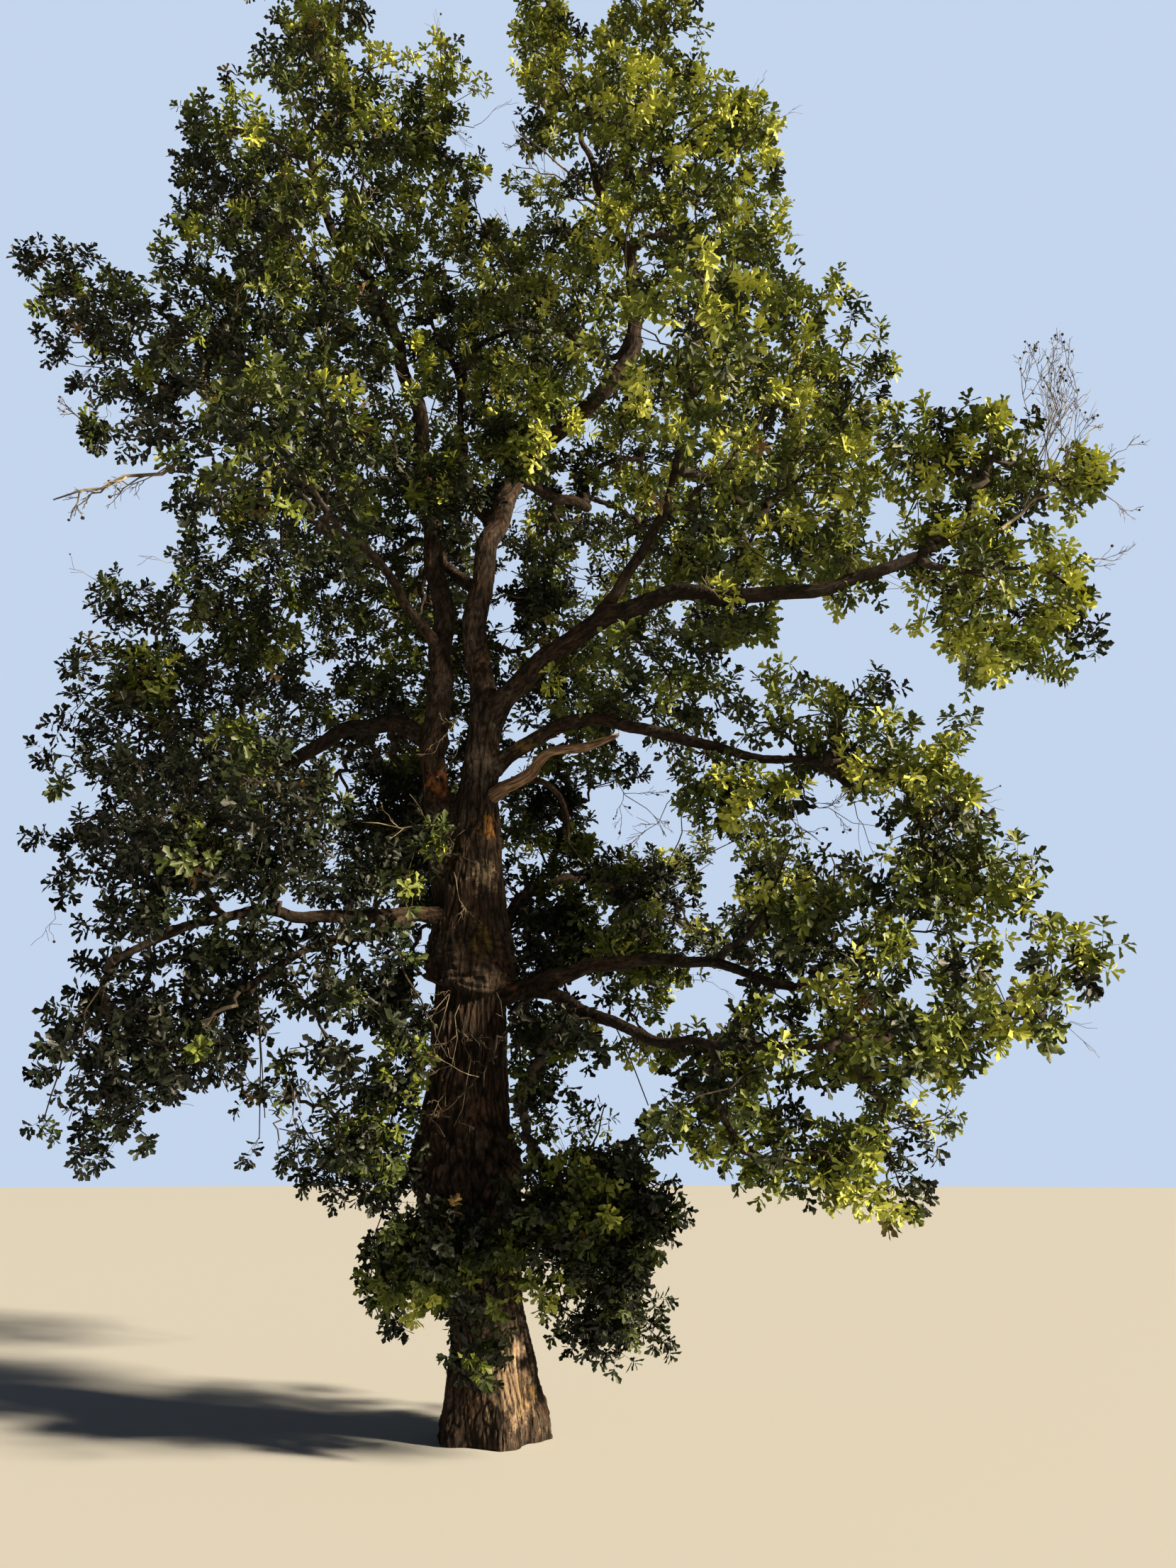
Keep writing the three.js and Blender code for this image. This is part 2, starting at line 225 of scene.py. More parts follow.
# The branching: small boughs that grow on from the limbs through every mass of foliage. Each spray is joined
# to wood near it, by a way that is neither too long nor too bent, and wood is as thick as its load needs.
# The photograph's camera tells where the sky shows through and which limbs stand bare before the leaves.
EYE = np.array([0.865, -12.0, 2.35])
LOOK_UP = math.radians(18)
FOCUS_PX = 1661
MIDDLE_PX = np.array([829.5, 1106.0])
# Gaps in the crown and bays in its outline: middle x and y, half width and half height, in the photograph's
# pixels.
SKY_GAPS_PX = (
    (1189, 1163, 84, 62), (905, 1146, 68, 72), (896, 1532, 84, 52), (325, 1590, 120, 56),
    (421, 1451, 36, 26), (1018, 1244, 23, 60), (1283, 1394, 30, 35), (1186, 1555, 31, 28),
    (1092, 490, 28, 17), (1101, 1526, 16, 39), (827, 813, 21, 42), (723, 878, 16, 35),
    (1287, 1528, 16, 30), (832, 724, 25, 15), (663, 199, 34, 36), (771, 233, 30, 25),
    (697, 287, 28, 22), (714, 151, 26, 42), (712, 54, 22, 60), (610, 25, 40, 50), (1190, 915, 130, 52),
    (1160, 330, 52, 66), (1420, 1368, 22, 58), (200, 770, 58, 70), (1060, 70, 54, 70),
    (1450, 1144, 31, 48), (184, 368, 40, 22), (1216, 469, 22, 29), (1316, 1037, 27, 15),
    (723, 1470, 10, 20),
)
# Noise leaves single shoots in the gaps and makes their edges ragged.
GAP_SHARE = 0.85
GAP_RAGGED = 1.7
GAP_PATCH = 0.22
# Leafy shoots beside the masses: middle x and y in the photograph's pixels, place in depth, half width and
# half height, and number.
SHOOT_BEDS = (
    (1056, 1108, -1.3, 0.62, 0.26, 20), (760, 1508, -0.5, 0.34, 0.70, 22),
    (744, 1325, 0.4, 0.26, 0.45, 12), (725, 1194, 0.5, 0.20, 0.60, 10),
    (536, 1556, -0.5, 0.42, 0.36, 18), (395, 1545, -1.2, 0.30, 0.22, 8),
    (1503, 864, -1.6, 0.36, 0.18, 10), (1535, 671, -1.6, 0.22, 0.28, 8),
    (1416, 1252, -2.0, 0.24, 0.28, 7), (1520, 1355, -2.2, 0.20, 0.30, 6),
    (1194, 787, -1.8, 0.30, 0.20, 7), (160, 622, -0.8, 0.25, 0.25, 6), (78, 387, -0.6, 0.28, 0.20, 7),
    (186, 899, -0.6, 0.20, 0.26, 6), (1063, 1428, -1.6, 0.24, 0.24, 7),
    (972, 1502, -1.6, 0.30, 0.22, 8), (831, 1442, -1.0, 0.25, 0.20, 6),
    (820, 1700, -0.9, 0.75, 0.60, 70), (600, 1775, -0.8, 0.55, 0.42, 50),
    (680, 1870, -1.0, 0.24, 0.42, 12), (860, 1840, -0.2, 0.50, 0.45, 34),
    (640, 1000, 0.9, 0.60, 1.20, 40), (800, 1230, 0.8, 0.55, 1.10, 44),
    (560, 1130, 0.6, 0.55, 0.80, 30), (1370, 640, -1.6, 0.55, 0.40, 18),
    (1340, 770, -1.6, 0.50, 0.40, 18), (1430, 690, -1.5, 0.35, 0.30, 10),
    (1480, 830, -1.7, 0.40, 0.35, 10), (1400, 900, -1.7, 0.45, 0.35, 12),
    (575, 1180, 1.0, 0.50, 0.60, 24), (560, 1400, 0.9, 0.45, 0.50, 24),
    (770, 1120, 1.0, 0.55, 0.50, 22), (770, 1290, 0.9, 0.45, 0.40, 18),
    (770, 1450, 0.6, 0.45, 0.50, 22), (620, 1745, -1.0, 0.50, 0.40, 36),
    (770, 1730, -1.0, 0.45, 0.60, 36), (870, 1700, -0.9, 0.60, 0.65, 40),
    (625, 1185, -0.6, 0.35, 0.30, 9), (600, 1500, -0.7, 0.25, 0.50, 12),
    (760, 700, 1.4, 0.80, 0.90, 40), (800, 1000, 1.2, 0.70, 0.80, 30), (1000, 800, 0.6, 0.90, 0.50, 30),
    (480, 1610, -0.9, 0.45, 0.35, 24), (545, 1640, -0.7, 0.30, 0.30, 14),
    (400, 1590, -1.2, 0.30, 0.35, 10), (1000, 1565, -1.9, 0.60, 0.25, 22),
    (1110, 1610, -2.1, 0.45, 0.35, 18), (1230, 1640, -2.2, 0.40, 0.40, 16),
    (775, 45, 0.2, 0.35, 0.45, 12), (1030, 190, 0.0, 0.40, 0.50, 12), (590, 190, 0.2, 0.40, 0.45, 12),
    (780, 830, 0.8, 0.45, 0.50, 18), (1030, 870, 0.3, 0.50, 0.35, 14),
    (1170, 790, -0.8, 0.50, 0.40, 16), (860, 1085, 0.6, 0.35, 0.25, 10),
    (345, 1360, -1.6, 0.50, 0.40, 18), (890, 1330, 0.4, 0.50, 0.40, 18),
    (1310, 1470, -2.2, 0.40, 0.35, 12), (770, 960, 0.9, 0.40, 0.40, 12),
    (590, 1265, 0.9, 0.40, 0.35, 14), (700, 640, 1.8, 0.60, 0.60, 16), (720, 640, -0.5, 0.45, 0.45, 20),
    (625, 700, -0.5, 0.40, 0.50, 22), (770, 590, -0.9, 0.50, 0.40, 18), (735, 880, 0.9, 0.30, 0.55, 18),
    (890, 585, 0.2, 0.50, 0.45, 16), (1010, 1125, -1.2, 0.35, 0.25, 10),
    (205, 970, -0.6, 0.50, 0.50, 20), (900, 1490, -1.2, 0.30, 0.30, 8),
    (1175, 1480, -1.9, 0.45, 0.30, 14), (190, 1290, -2.2, 0.40, 0.25, 10),
    (800, 1330, 0.8, 0.40, 0.40, 14), (760, 850, -0.2, 0.20, 0.20, 5),
    (330, 1230, -1.7, 0.60, 0.22, 14), (1230, 1110, -1.5, 0.35, 0.30, 10),
    (910, 1230, 0.6, 0.45, 0.35, 14), (1310, 1235, -1.9, 0.45, 0.35, 14),
    (900, 1365, 0.3, 0.45, 0.40, 14), (1310, 1350, -2.0, 0.40, 0.35, 10),
    (160, 845, -0.5, 0.40, 0.30, 8), (890, 700, 0.3, 0.40, 0.35, 8), (620, 60, 0.4, 0.20, 0.30, 3),
    (640, 1560, -0.7, 0.30, 0.30, 10), (1060, 862, -1.5, 0.45, 0.16, 10),
    (1185, 822, -1.7, 0.35, 0.16, 8), (880, 1260, -0.2, 0.30, 0.25, 8),
    (545, 1230, -0.9, 0.40, 0.25, 10), (480, 160, 0.1, 0.50, 0.50, 12),
    (530, 370, -0.2, 0.50, 0.40, 12), (765, 195, 0.2, 0.25, 0.35, 6), (240, 1460, -1.9, 0.50, 0.30, 10),
    (345, 935, -0.3, 0.50, 0.40, 10), (430, 50, 0.3, 0.40, 0.35, 12), (290, 190, 0.0, 0.30, 0.30, 7),
    (1020, 160, 0.0, 0.35, 0.40, 12), (345, 700, -0.4, 0.45, 0.35, 14),
    (1180, 1085, -1.4, 0.40, 0.25, 12), (1040, 1495, -1.6, 0.45, 0.30, 12),
    (620, 130, 0.2, 0.30, 0.35, 8), (770, 60, 0.1, 0.25, 0.35, 6), (905, 40, 0.0, 0.50, 0.35, 8),
    (1310, 1100, -1.8, 0.45, 0.35, 12), (640, 1190, -0.75, 0.25, 0.30, 8),
    (695, 1510, -0.75, 0.20, 0.28, 7), (1440, 1440, -2.1, 0.25, 0.25, 6),
    (1150, 1290, -1.2, 0.45, 0.30, 12), (900, 1480, 0.2, 0.40, 0.25, 8),
)
BED_DEPTH = 0.35
BED_FILL = 0.4
BED_CLEAR_OF_WOOD = 0.04
# Where limbs show before the leaves: the shares of their length, from the root, between which they are bare.
WHOLE = ((0, 1),)
BARE_SPANS = {
    "trunk": ((0.36, 0.85),), "left_stem": ((0.05, 0.33), (0.62, 0.88)), "leader": ((0, 0.24), (0.52, 0.60)),
    "leader_branch_left": ((0, 0.8),), "leader_branch_back": ((0.5, 1),),
    "right_high_bough": ((0, 0.48), (0.56, 0.74)), "right_riser": ((0.3, 0.5),),
    "right_middle_bough": ((0, 0.8),), "right_low_bough": ((0, 0.6),), "right_low_fork": ((0.1, 0.4),),
    "left_low_bough": ((0.1, 0.45),), "left_middle_bough": ((0, 0.25),), "left_high_limb": ((0.1, 0.4),),
    "back_left_fork": WHOLE, "back_right_fork": WHOLE, "inner_crossing": WHOLE,
}
BARE_EDGE = 0.03
SPRAYS = 3150
SPRAY_SPACING = 0.235
# Places tried for each spray, the depths in its mass between which they lie, how strongly they keep to the
# outer ones, and the most that a place may lie in, beside the way to the middle.
TRIES = 6.5
SHELL_START = 0.10
SHELL_DEPTH = 0.9
SHELL_PULL = 1.4
SHELL_MOST = 0.9
# Only a share of the sprays that lie deeper than this under the skin of all the masses is kept.
DEEP = 0.95
DEEP_SHARE = 0.15
CLEAR_OF_WOOD = 0.08
# Hollows between the sprays: their size, and the noise below which there is one.
HOLLOW_SIZE = 0.45
HOLLOW_LEVEL = -0.20
# A spray may be joined to so many neighbours and to limbs this near. A hop costs more past FAR_HOP, for the
# whole way to the limb, for its bend, and where it crosses a gap of sky.
NEIGHBOURS = 16
LIMB_REACH = 1.5
FAR_HOP = 0.7
WAY_COST = 0.35
BEND_COST = 0.45
SKY_COST = 20
# A bough straightens in growing: the rounds, and the weights of a knot and of those before and after it.
EASE_ROUNDS = 3
KNOT_SHARE, BESIDE_SHARE = 0.4, 0.3
# The radius of wood that carries one spray, and how it grows with the number. Wood that carries more than
# THICK_LOAD is drawn in shorter steps.
TIP_RADIUS = 0.0055
PIPE_POWER = 2.25
THICK_LOAD = 10
THICK_STEPS, THIN_STEPS = 4, 2
ROOT_SWELL = 1.3
# How far a bough strays from its smooth curve. Thin wood strays less.
WOBBLE = 0.035
WOBBLE_GROWTH = 6
# The radius of its root above which a small bough has so many sides.
BOUGH_SIDES = ((0.03, 7), (0.014, 5), (0.008, 4), (0, 3))
# How full some masses are beside the others.
FULLNESS = {
    0.6: ("back_right_low",),
    0.7: ("back_top", "back_left_high", "back_left_low"),
    0.9: ("back_right_high",),
    1.2: ("right_arm", "right_arm_tip", "right_arm_spur"),
    1.3: ("skirt_left", "skirt_right", "left_arm_tip", "left_inner"),
    1.4: ("left_end", "low_left_front", "low_left_end", "low_left_weeping", "low_right_tip",
          "low_right_heart", "low_right_end", "low_right_weeping", "low_right_near"),
}

crown_rng = np.random.default_rng(seed=23)
wood_line = np.concatenate([limbs[node][0] for node in wooden_limbs])
wood_radius = np.concatenate([limbs[node][1] for node in wooden_limbs])
wood_ahead = np.concatenate([unit(np.gradient(limbs[node][0], axis=0)) for node in wooden_limbs])


def in_photo(points):
    """Where the photograph shows each point, in its pixels, and how far away the point is."""
    away = points - EYE
    depth = away[:, 1] * math.cos(LOOK_UP) + away[:, 2] * math.sin(LOOK_UP)
    up = away[:, 2] * math.cos(LOOK_UP) - away[:, 1] * math.sin(LOOK_UP)
    return MIDDLE_PX + FOCUS_PX * np.stack([away[:, 0], -up], 1) / depth[:, None], depth


def place_seen(pixel, y):
    """The place at depth y that a pixel of the photograph shows."""
    across, down = (np.array(pixel) - MIDDLE_PX) / FOCUS_PX
    ray = np.array([across, math.cos(LOOK_UP) + math.sin(LOOK_UP) * down,
                    math.sin(LOOK_UP) - math.cos(LOOK_UP) * down])
    return EYE + ray * (y - EYE[1]) / ray[1]


bare_line, bare_radius = [], []
for node, spans in BARE_SPANS.items():
    line, radius = limbs[node]
    share = np.linspace(0, 1, len(line))
    bare = np.any([(share >= low) & (share <= high) for low, high in spans], axis=0)
    bare_line.append(line[bare])
    bare_radius.append(radius[bare])
bare_seen, bare_depth = in_photo(np.concatenate(bare_line))
bare_reach = FOCUS_PX * (np.concatenate(bare_radius) + BARE_EDGE) / bare_depth


def in_sky_gap(points):
    """Whether each point is seen in a gap of sky. The gaps have ragged edges."""
    seen, _ = in_photo(points)
    gaps = np.array(SKY_GAPS_PX, float)
    edge = GAP_SHARE + GAP_RAGGED * smooth_noise(points / GAP_PATCH)[:, None]
    return (np.sum(((seen[:, None] - gaps[:, :2]) / gaps[:, 2:]) ** 2, axis=2) < edge).any(axis=1)


def in_the_way(points):
    """Whether leaves at each point would close a gap of sky or hide a bare limb."""
    seen, depth = in_photo(points)
    apart = np.linalg.norm(seen[:, None] - bare_seen[None], axis=2)
    hiding = (apart < bare_reach) & (depth[:, None] < bare_depth)
    return in_sky_gap(points) | hiding.any(axis=1)


def places_in_mass(node, count):
    """Random places in the outer shell of a mass, and the way out from each."""
    points, triangles = node_surface(node)
    skin = spread_over(points, triangles, count, crown_rng)
    inward = (points.min(0) + points.max(0)) / 2 - skin
    reach = np.linalg.norm(inward, axis=1, keepdims=True)
    depth = SHELL_START + SHELL_DEPTH * crown_rng.random((count, 1)) ** SHELL_PULL
    return skin + inward / reach * np.minimum(depth, reach * SHELL_MOST), -inward / reach


def surface_area(node):
    """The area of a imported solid's surface."""
    points, triangles = node_surface(node)
    a, b, c = (points[triangles[:, corner]] for corner in range(3))
    return np.linalg.norm(np.cross(b - a, c - a), axis=1).sum() / 2


def depth_below(points):
    """How deep each point lies in the mass that covers it most."""
    deepest = np.zeros(len(points))
    for node in masses:
        skin, triangles = node_surface(node)
        tree = bvhtree.BVHTree.FromPolygons(skin.tolist(), triangles.tolist())
        close = np.flatnonzero(np.all((points > skin.min(0)) & (points < skin.max(0)), axis=1))
        for number in close:
            place, normal, _, gap = tree.find_nearest(Vector(points[number]))
            if (Vector(points[number]) - place).dot(normal) < 0:
                deepest[number] = max(deepest[number], gap)
    return deepest


fullness = {node: full for full, nodes in FULLNESS.items() for node in nodes}
share = {node: surface_area(node) * fullness.get(node, 1) for node in masses}
places, outs, owners = [], [], []
for number, node in enumerate(masses):
    found, out = places_in_mass(node, int(TRIES * SPRAYS * share[node] / sum(share.values())))
    full = (smooth_noise(found / HOLLOW_SIZE) > HOLLOW_LEVEL) & ~in_the_way(found)
    places.append(found[full])
    outs.append(out[full])
    owners.append(np.full(full.sum(), number))
places, outs, owners = np.concatenate(places), np.concatenate(outs), np.concatenate(owners)
shallow = (depth_below(places) < DEEP) | (crown_rng.random(len(places)) < DEEP_SHARE)
places, outs, owners = places[shallow], outs[shallow], owners[shallow]
chosen = []
kept = np.empty((SPRAYS, 3))
for place in crown_rng.permutation(len(places)):
    point = places[place]
    if chosen and np.min(np.sum((kept[:len(chosen)] - point) ** 2, axis=1)) < SPRAY_SPACING ** 2:
        continue
    if np.any(np.linalg.norm(wood_line - point, axis=1) < wood_radius + CLEAR_OF_WOOD):
        continue
    kept[len(chosen)] = point
    chosen.append(place)
    if len(chosen) == SPRAYS:
        break
sprays, spray_out, spray_mass = places[chosen], outs[chosen], owners[chosen]
mass_middles = np.array([sum(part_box(node), Vector()) / 2 for node in masses])
for across_px, down_px, y, wide, high, number in SHOOT_BEDS:
    outward = unit(crown_rng.normal(size=(number, 3))) * crown_rng.random((number, 1)) ** BED_FILL
    found = place_seen((across_px, down_px), y) + outward * (wide, BED_DEPTH, high)
    apart = np.linalg.norm(found[:, None] - wood_line[None], axis=2)
    found = found[np.all(apart > wood_radius + BED_CLEAR_OF_WOOD, axis=1)]
    sprays = np.concatenate([sprays, found])
    nearest_wood = wood_line[nearest_on(wood_line, found)]
    spray_out = np.concatenate([spray_out, unit(found - nearest_wood)])
    spray_mass = np.concatenate([spray_mass, nearest_on(mass_middles, found)])

spray_tree = kdtree.KDTree(len(sprays))
for number, point in enumerate(sprays):
    spray_tree.insert(point, number)
spray_tree.balance()
near = [[found[1] for found in spray_tree.find_n(point, NEIGHBOURS + 1)[1:]] for point in sprays]
# A parent of 0 or more is another spray, and one below 0 is a point of the limbs' middle lines.
parent = np.zeros(len(sprays), int)
way_to = np.zeros(len(sprays))
heading = np.zeros((len(sprays), 3))
joined = np.zeros(len(sprays), bool)
grown = []
offers = []


def offer(source, start, ahead, way, targets):
    """Puts the ways from a grown point to the sprays near it among those to be chosen from."""
    targets = [target for target in targets if not joined[target]]
    if not targets:
        return
    hops = sprays[targets] - start
    lengths = np.linalg.norm(hops, axis=1)
    bends = 1 + BEND_COST * (1 - hops @ ahead / lengths)
    costs = lengths * (1 + (lengths / FAR_HOP) ** 2) * bends + WAY_COST * way
    costs[in_sky_gap(start + hops / 2)] += SKY_COST
    for cost, length, target in zip(costs, lengths, targets):
        heapq.heappush(offers, (cost, length, source, target))


for number, point in enumerate(wood_line):
    offer(-1 - number, point, wood_ahead[number], 0.0,
          [found[1] for found in spray_tree.find_range(point, LIMB_REACH)])
while len(grown) < len(sprays):
    if not offers:
        alone = np.flatnonzero(~joined)
        gaps = np.linalg.norm(sprays[alone][:, None] - sprays[grown][None], axis=2)
        target, source = np.unravel_index(np.argmin(gaps), gaps.shape)
        heapq.heappush(offers, (0.0, gaps.min(), grown[source], int(alone[target])))
    _, length, source, target = heapq.heappop(offers)
    if joined[target]:
        continue
    start = sprays[source] if source >= 0 else wood_line[-1 - source]
    joined[target] = True
    parent[target] = source
    way_to[target] = length + (way_to[source] if source >= 0 else 0)
    heading[target] = unit(sprays[target] - start)
    grown.append(target)
    offer(target, sprays[target], heading[target], way_to[target], near[target])

children = {}
load = np.ones(len(sprays))
for target in reversed(grown):
    children.setdefault(int(parent[target]), []).append(target)
    if parent[target] >= 0:
        load[parent[target]] += load[target]


def heaviest(targets):
    """The one of some sprays whose wood carries most."""
    return max(targets, key=lambda target: load[target])


# Each knot moves towards the line between the wood before and after it.
knots = sprays.copy()
for _ in range(EASE_ROUNDS):
    eased = knots.copy()
    for target in grown:
        if target in children:
            before = knots[parent[target]] if parent[target] >= 0 else wood_line[-1 - parent[target]]
            after = knots[heaviest(children[target])]
            eased[target] = KNOT_SHARE * knots[target] + BESIDE_SHARE * (before + after)
    knots = eased


def curve_through(points, steps):
    """A smooth curve through the points, with so many steps from each to the next."""
    ends = np.concatenate([[2 * points[0] - points[1]], points, [2 * points[-1] - points[-2]]])
    t = np.arange(steps)[:, None] / steps
    parts = []
    for p0, p1, p2, p3 in zip(ends, ends[1:], ends[2:], ends[3:]):
        parts.append(0.5 * (2 * p1 + (p2 - p0) * t + (2 * p0 - 5 * p1 + 4 * p2 - p3) * t ** 2
                            + (3 * p1 - p0 - 3 * p2 + p3) * t ** 3))
    return np.concatenate(parts + [points[-1:]])


def at_steps(values, steps):
    """Values of a curve's knots, drawn out to all its points."""
    count = (len(values) - 1) * steps + 1
    return np.interp(np.arange(count) / steps, np.arange(len(values)), values)


# A direction in which hardly any limb runs, from which a limb's rings are turned.
ASKEW = np.array([0.36, 0.48, 0.8])


def sweep(paths, radii, sides):
    """Closed round tubes along many paths of equal length: their points, and their side and end faces."""
    count, steps = paths.shape[:2]
    ahead = unit(np.gradient(paths, axis=1))
    across = unit(np.cross(ahead[:, 0], ASKEW))
    turns = np.arange(sides)[None, :, None] * math.tau / sides
    rings = np.empty((count, steps, sides, 3))
    for step in range(steps):
        across = unit(across - np.sum(across * ahead[:, step], 1, keepdims=True) * ahead[:, step])
        side = np.cross(ahead[:, step], across)
        ring = np.cos(turns) * across[:, None] + np.sin(turns) * side[:, None]
        rings[:, step] = paths[:, step, None] + ring * radii[:, step, None, None]
    index = np.arange(count * steps * sides).reshape(count, steps, sides)
    beside = np.roll(index, -1, axis=2)
    walls = np.stack([index[:, :-1], beside[:, :-1], beside[:, 1:], index[:, 1:]], -1).reshape(-1, 4)
    ends = np.concatenate([index[:, 0, ::-1], index[:, -1]])
    return rings.reshape(-1, 3), walls, ends


def joined_tubes(tubes):
    """Points and faces of many tubes as one mesh."""
    points, faces, count = [], {}, 0
    for rings, walls, ends in tubes:
        points.append(rings)
        for group in (walls, ends):
            faces.setdefault(group.shape[1], []).append(group + count)
        count += len(rings)
    return np.concatenate(points), [np.concatenate(group) for group in faces.values()]


def mesh_piece(name, points, face_groups):
    """A new object with a mesh made from arrays of points and faces."""
    mesh = bpy.data.meshes.new(name)
    corners = np.concatenate([group.ravel() for group in face_groups]).astype(np.int32)
    sizes = np.concatenate([np.full(len(group), group.shape[1]) for group in face_groups])
    starts = np.concatenate([[0], np.cumsum(sizes)[:-1]]).astype(np.int32)
    mesh.vertices.add(len(points))
    mesh.vertices.foreach_set("co", points.astype(np.float32).ravel())
    mesh.loops.add(len(corners))
    mesh.loops.foreach_set("vertex_index", corners)
    mesh.polygons.add(len(sizes))
    mesh.polygons.foreach_set("loop_start", starts)
    mesh.update(calc_edges=True)
    piece = bpy.data.objects.new(name, mesh)
    bpy.context.scene.collection.objects.link(piece)
    return piece


small_boughs = []
for source, targets in children.items():
    for target in targets:
        if source >= 0 and target == heaviest(targets):
            continue
        path = [target]
        while path[-1] in children:
            path.append(heaviest(children[path[-1]]))
        root = knots[source] if source >= 0 else wood_line[-1 - source]
        steps = THICK_STEPS if load[target] > THICK_LOAD else THIN_STEPS
        line = curve_through(np.concatenate([[root], knots[path]]), steps)
        radius = TIP_RADIUS * load[[target] + path] ** (1 / PIPE_POWER)
        if source < 0:
            radius[0] = min(radius[0] * ROOT_SWELL, wood_radius[-1 - source])
        radius = at_steps(radius, steps)
        wobble = crown_rng.normal(0, WOBBLE, line.shape)
        wobble *= np.minimum(1, WOBBLE_GROWTH * radius[:, None] ** 0.5)
        wobble[0] = 0
        sides = next(sides for least, sides in BOUGH_SIDES if radius[0] > least)
        small_boughs.append(sweep((line + wobble)[None], radius[None], sides))
small_bough_piece = mesh_piece("small_boughs", *joined_tubes(small_boughs))

# The bark of the living trunk, stems and boughs: old oak bark, split by growth into upright plates between
# dark furrows, with burls and a collar on the trunk. One skin is drawn over all the timber and then carved.
VOXEL = 0.031
# Where the trunk's skin ends: this many of its radii from its middle, and so much further.
TRUNK_REACH, TRUNK_MARGIN = 1.08, 0.05
# The width of a plate on the trunk and on a bough, and how many times longer it is. Real plates are 20 to
# 30 mm wide, too fine to be seen from 12 m.
PLATE = 0.050
LIMB_PLATE = 0.032
PLATE_STRETCH = 6.0
# How far furrows wind, over what length, and how deep they are where wood has the full girth's radius. On
# other wood they have a share of that depth, between these two.
WEAVE, WEAVE_LENGTH = 0.022, 0.28
FURROW = 0.017
FULL_GIRTH = 0.32
GIRTH_SHARES = 0.14, 1.2
# Finer furrows cut the plates, closer and shorter than the wide ones, and cracks cross them. Their shares of
# the depth, and how steep the sides are.
FINE_CLOSER, FINE_SHORTER, FINE_SHARE = 1.9, 1.4, 0.35
CRACK_CLOSER, CRACK_WIDER, CRACK_SHARE = 0.8, 0.5, 0.2
FURROW_SLOPE, CRACK_SLOPE = 3.4, 6
# Close points along the limbs carry the grain. That of each limb starts so far beyond the last one's.
GRAIN_STEP = 0.08
GRAIN_APART = 5
# Lumps all over the wood: how far each kind stands out, and its size round and along the limb.
LUMP, LUMP_SIZE = 0.028, (0.16, 0.16, 0.40)
BROAD_LUMP, BROAD_LUMP_SIZE = 0.030, (0.4, 0.4, 0.9)
# Swollen places of the trunk: height, half height and how far the lumps stand out.
BURLS = ((2.35, 0.62, 0.15), (1.55, 0.30, 0.05), (5.9, 0.3, 0.03))
# The size of a burl's broad, round and small knobs, how strong each kind is, and the swelling under them.
KNOB_SIZES = 0.30, 0.15, 0.07
KNOB_SHARES = 0.8, 0.7, 0.4
BURL_SWELL = 0.25
# The thick old collar at mid height: the middle that it goes round, its lowest point and its top, how much
# higher its edge is behind, how ragged the edge is, how far it overhangs, the heights beside its edge
# between which it comes out, and how far above the edge it starts to go in again.
COLLAR_MIDDLE = -0.18, -0.02
COLLAR_LOW = 3.90
COLLAR_TOP = 4.95
COLLAR_RISE = 0.50
COLLAR_RAG, COLLAR_RAG_SIZE = 0.03, 0.12
COLLAR_OUT = 0.075
COLLAR_LIP = -0.015, 0.06
COLLAR_FULL = 0.25
# Shaggy bark on the collar, where furrows are shallower by this share.
SHAG, SHAG_SIZE = 0.035, (0.10, 0.10, 0.05)
FINE_SHAG, FINE_SHAG_SIZE = 0.02, (0.045, 0.045, 0.03)
COLLAR_SMOOTH = 0.6
# The waist under the collar: where it begins and is full, how deep it is, and where it ends beside the edge.
WAIST_LOW, WAIST_FULL = 3.0, 3.5
WAIST_IN = 0.050
WAIST_END = -0.02, 0.05
# Over this height above the flat cut the relief begins.
CUT_CALM = 0.06
# Limbs look thinner in the soft skin than they are, so they get more wood first, and most at their root. The
# root is sunk so many radii into the wood that carries it.
LIMB_SWELL = 1.15
ROOT_FLARES = 1.35, 1.2
ROOT_SUNK = 1.1
LIMB_STEPS = 3
LIMB_SIDES = 16
# Where the left stem's wood ends low in the trunk, so that it rises out of it without a step.
STEM_FOOT = (-0.42, 0.0, 4.0)

tubes = []
for node in wooden_limbs:
    if node != "trunk":
        line, radius = limbs[node]
        radius = radius * LIMB_SWELL
        foot = line[0] - unit(line[1] - line[0]) * radius[0] * ROOT_SUNK
        if node == "left_stem":
            foot = STEM_FOOT
        line = curve_through(np.concatenate([[foot], line]), LIMB_STEPS)
        radius = np.concatenate([[radius[0]], radius])
        radius[:2] *= ROOT_FLARES
        tubes.append(sweep(line[None], at_steps(radius, LIMB_STEPS)[None], LIMB_SIDES))
bark_piece = mesh_piece("bough_bark", *joined_tubes(tubes))
trunk_points, trunk_triangles = node_surface("trunk")
trunk_copy = mesh_piece("trunk_copy", trunk_points, [trunk_triangles])
trunk_copy.select_set(True)
bark_piece.select_set(True)
bpy.context.view_layer.objects.active = bark_piece
bpy.ops.object.join()
remesh = bark_piece.modifiers.new("one_skin", "REMESH")
remesh.mode = "VOXEL"
remesh.voxel_size = VOXEL
bpy.ops.object.modifier_apply(modifier="one_skin")
soften = bark_piece.modifiers.new("soften", "SMOOTH")
soften.factor = 0.5
soften.iterations = 10
bpy.ops.object.modifier_apply(modifier="soften")


def mesh_points(mesh):
    """The places of a mesh's points."""
    points = np.empty(len(mesh.vertices) * 3, np.float32)
    mesh.vertices.foreach_get("co", points)
    return points.reshape(-1, 3).astype(float)


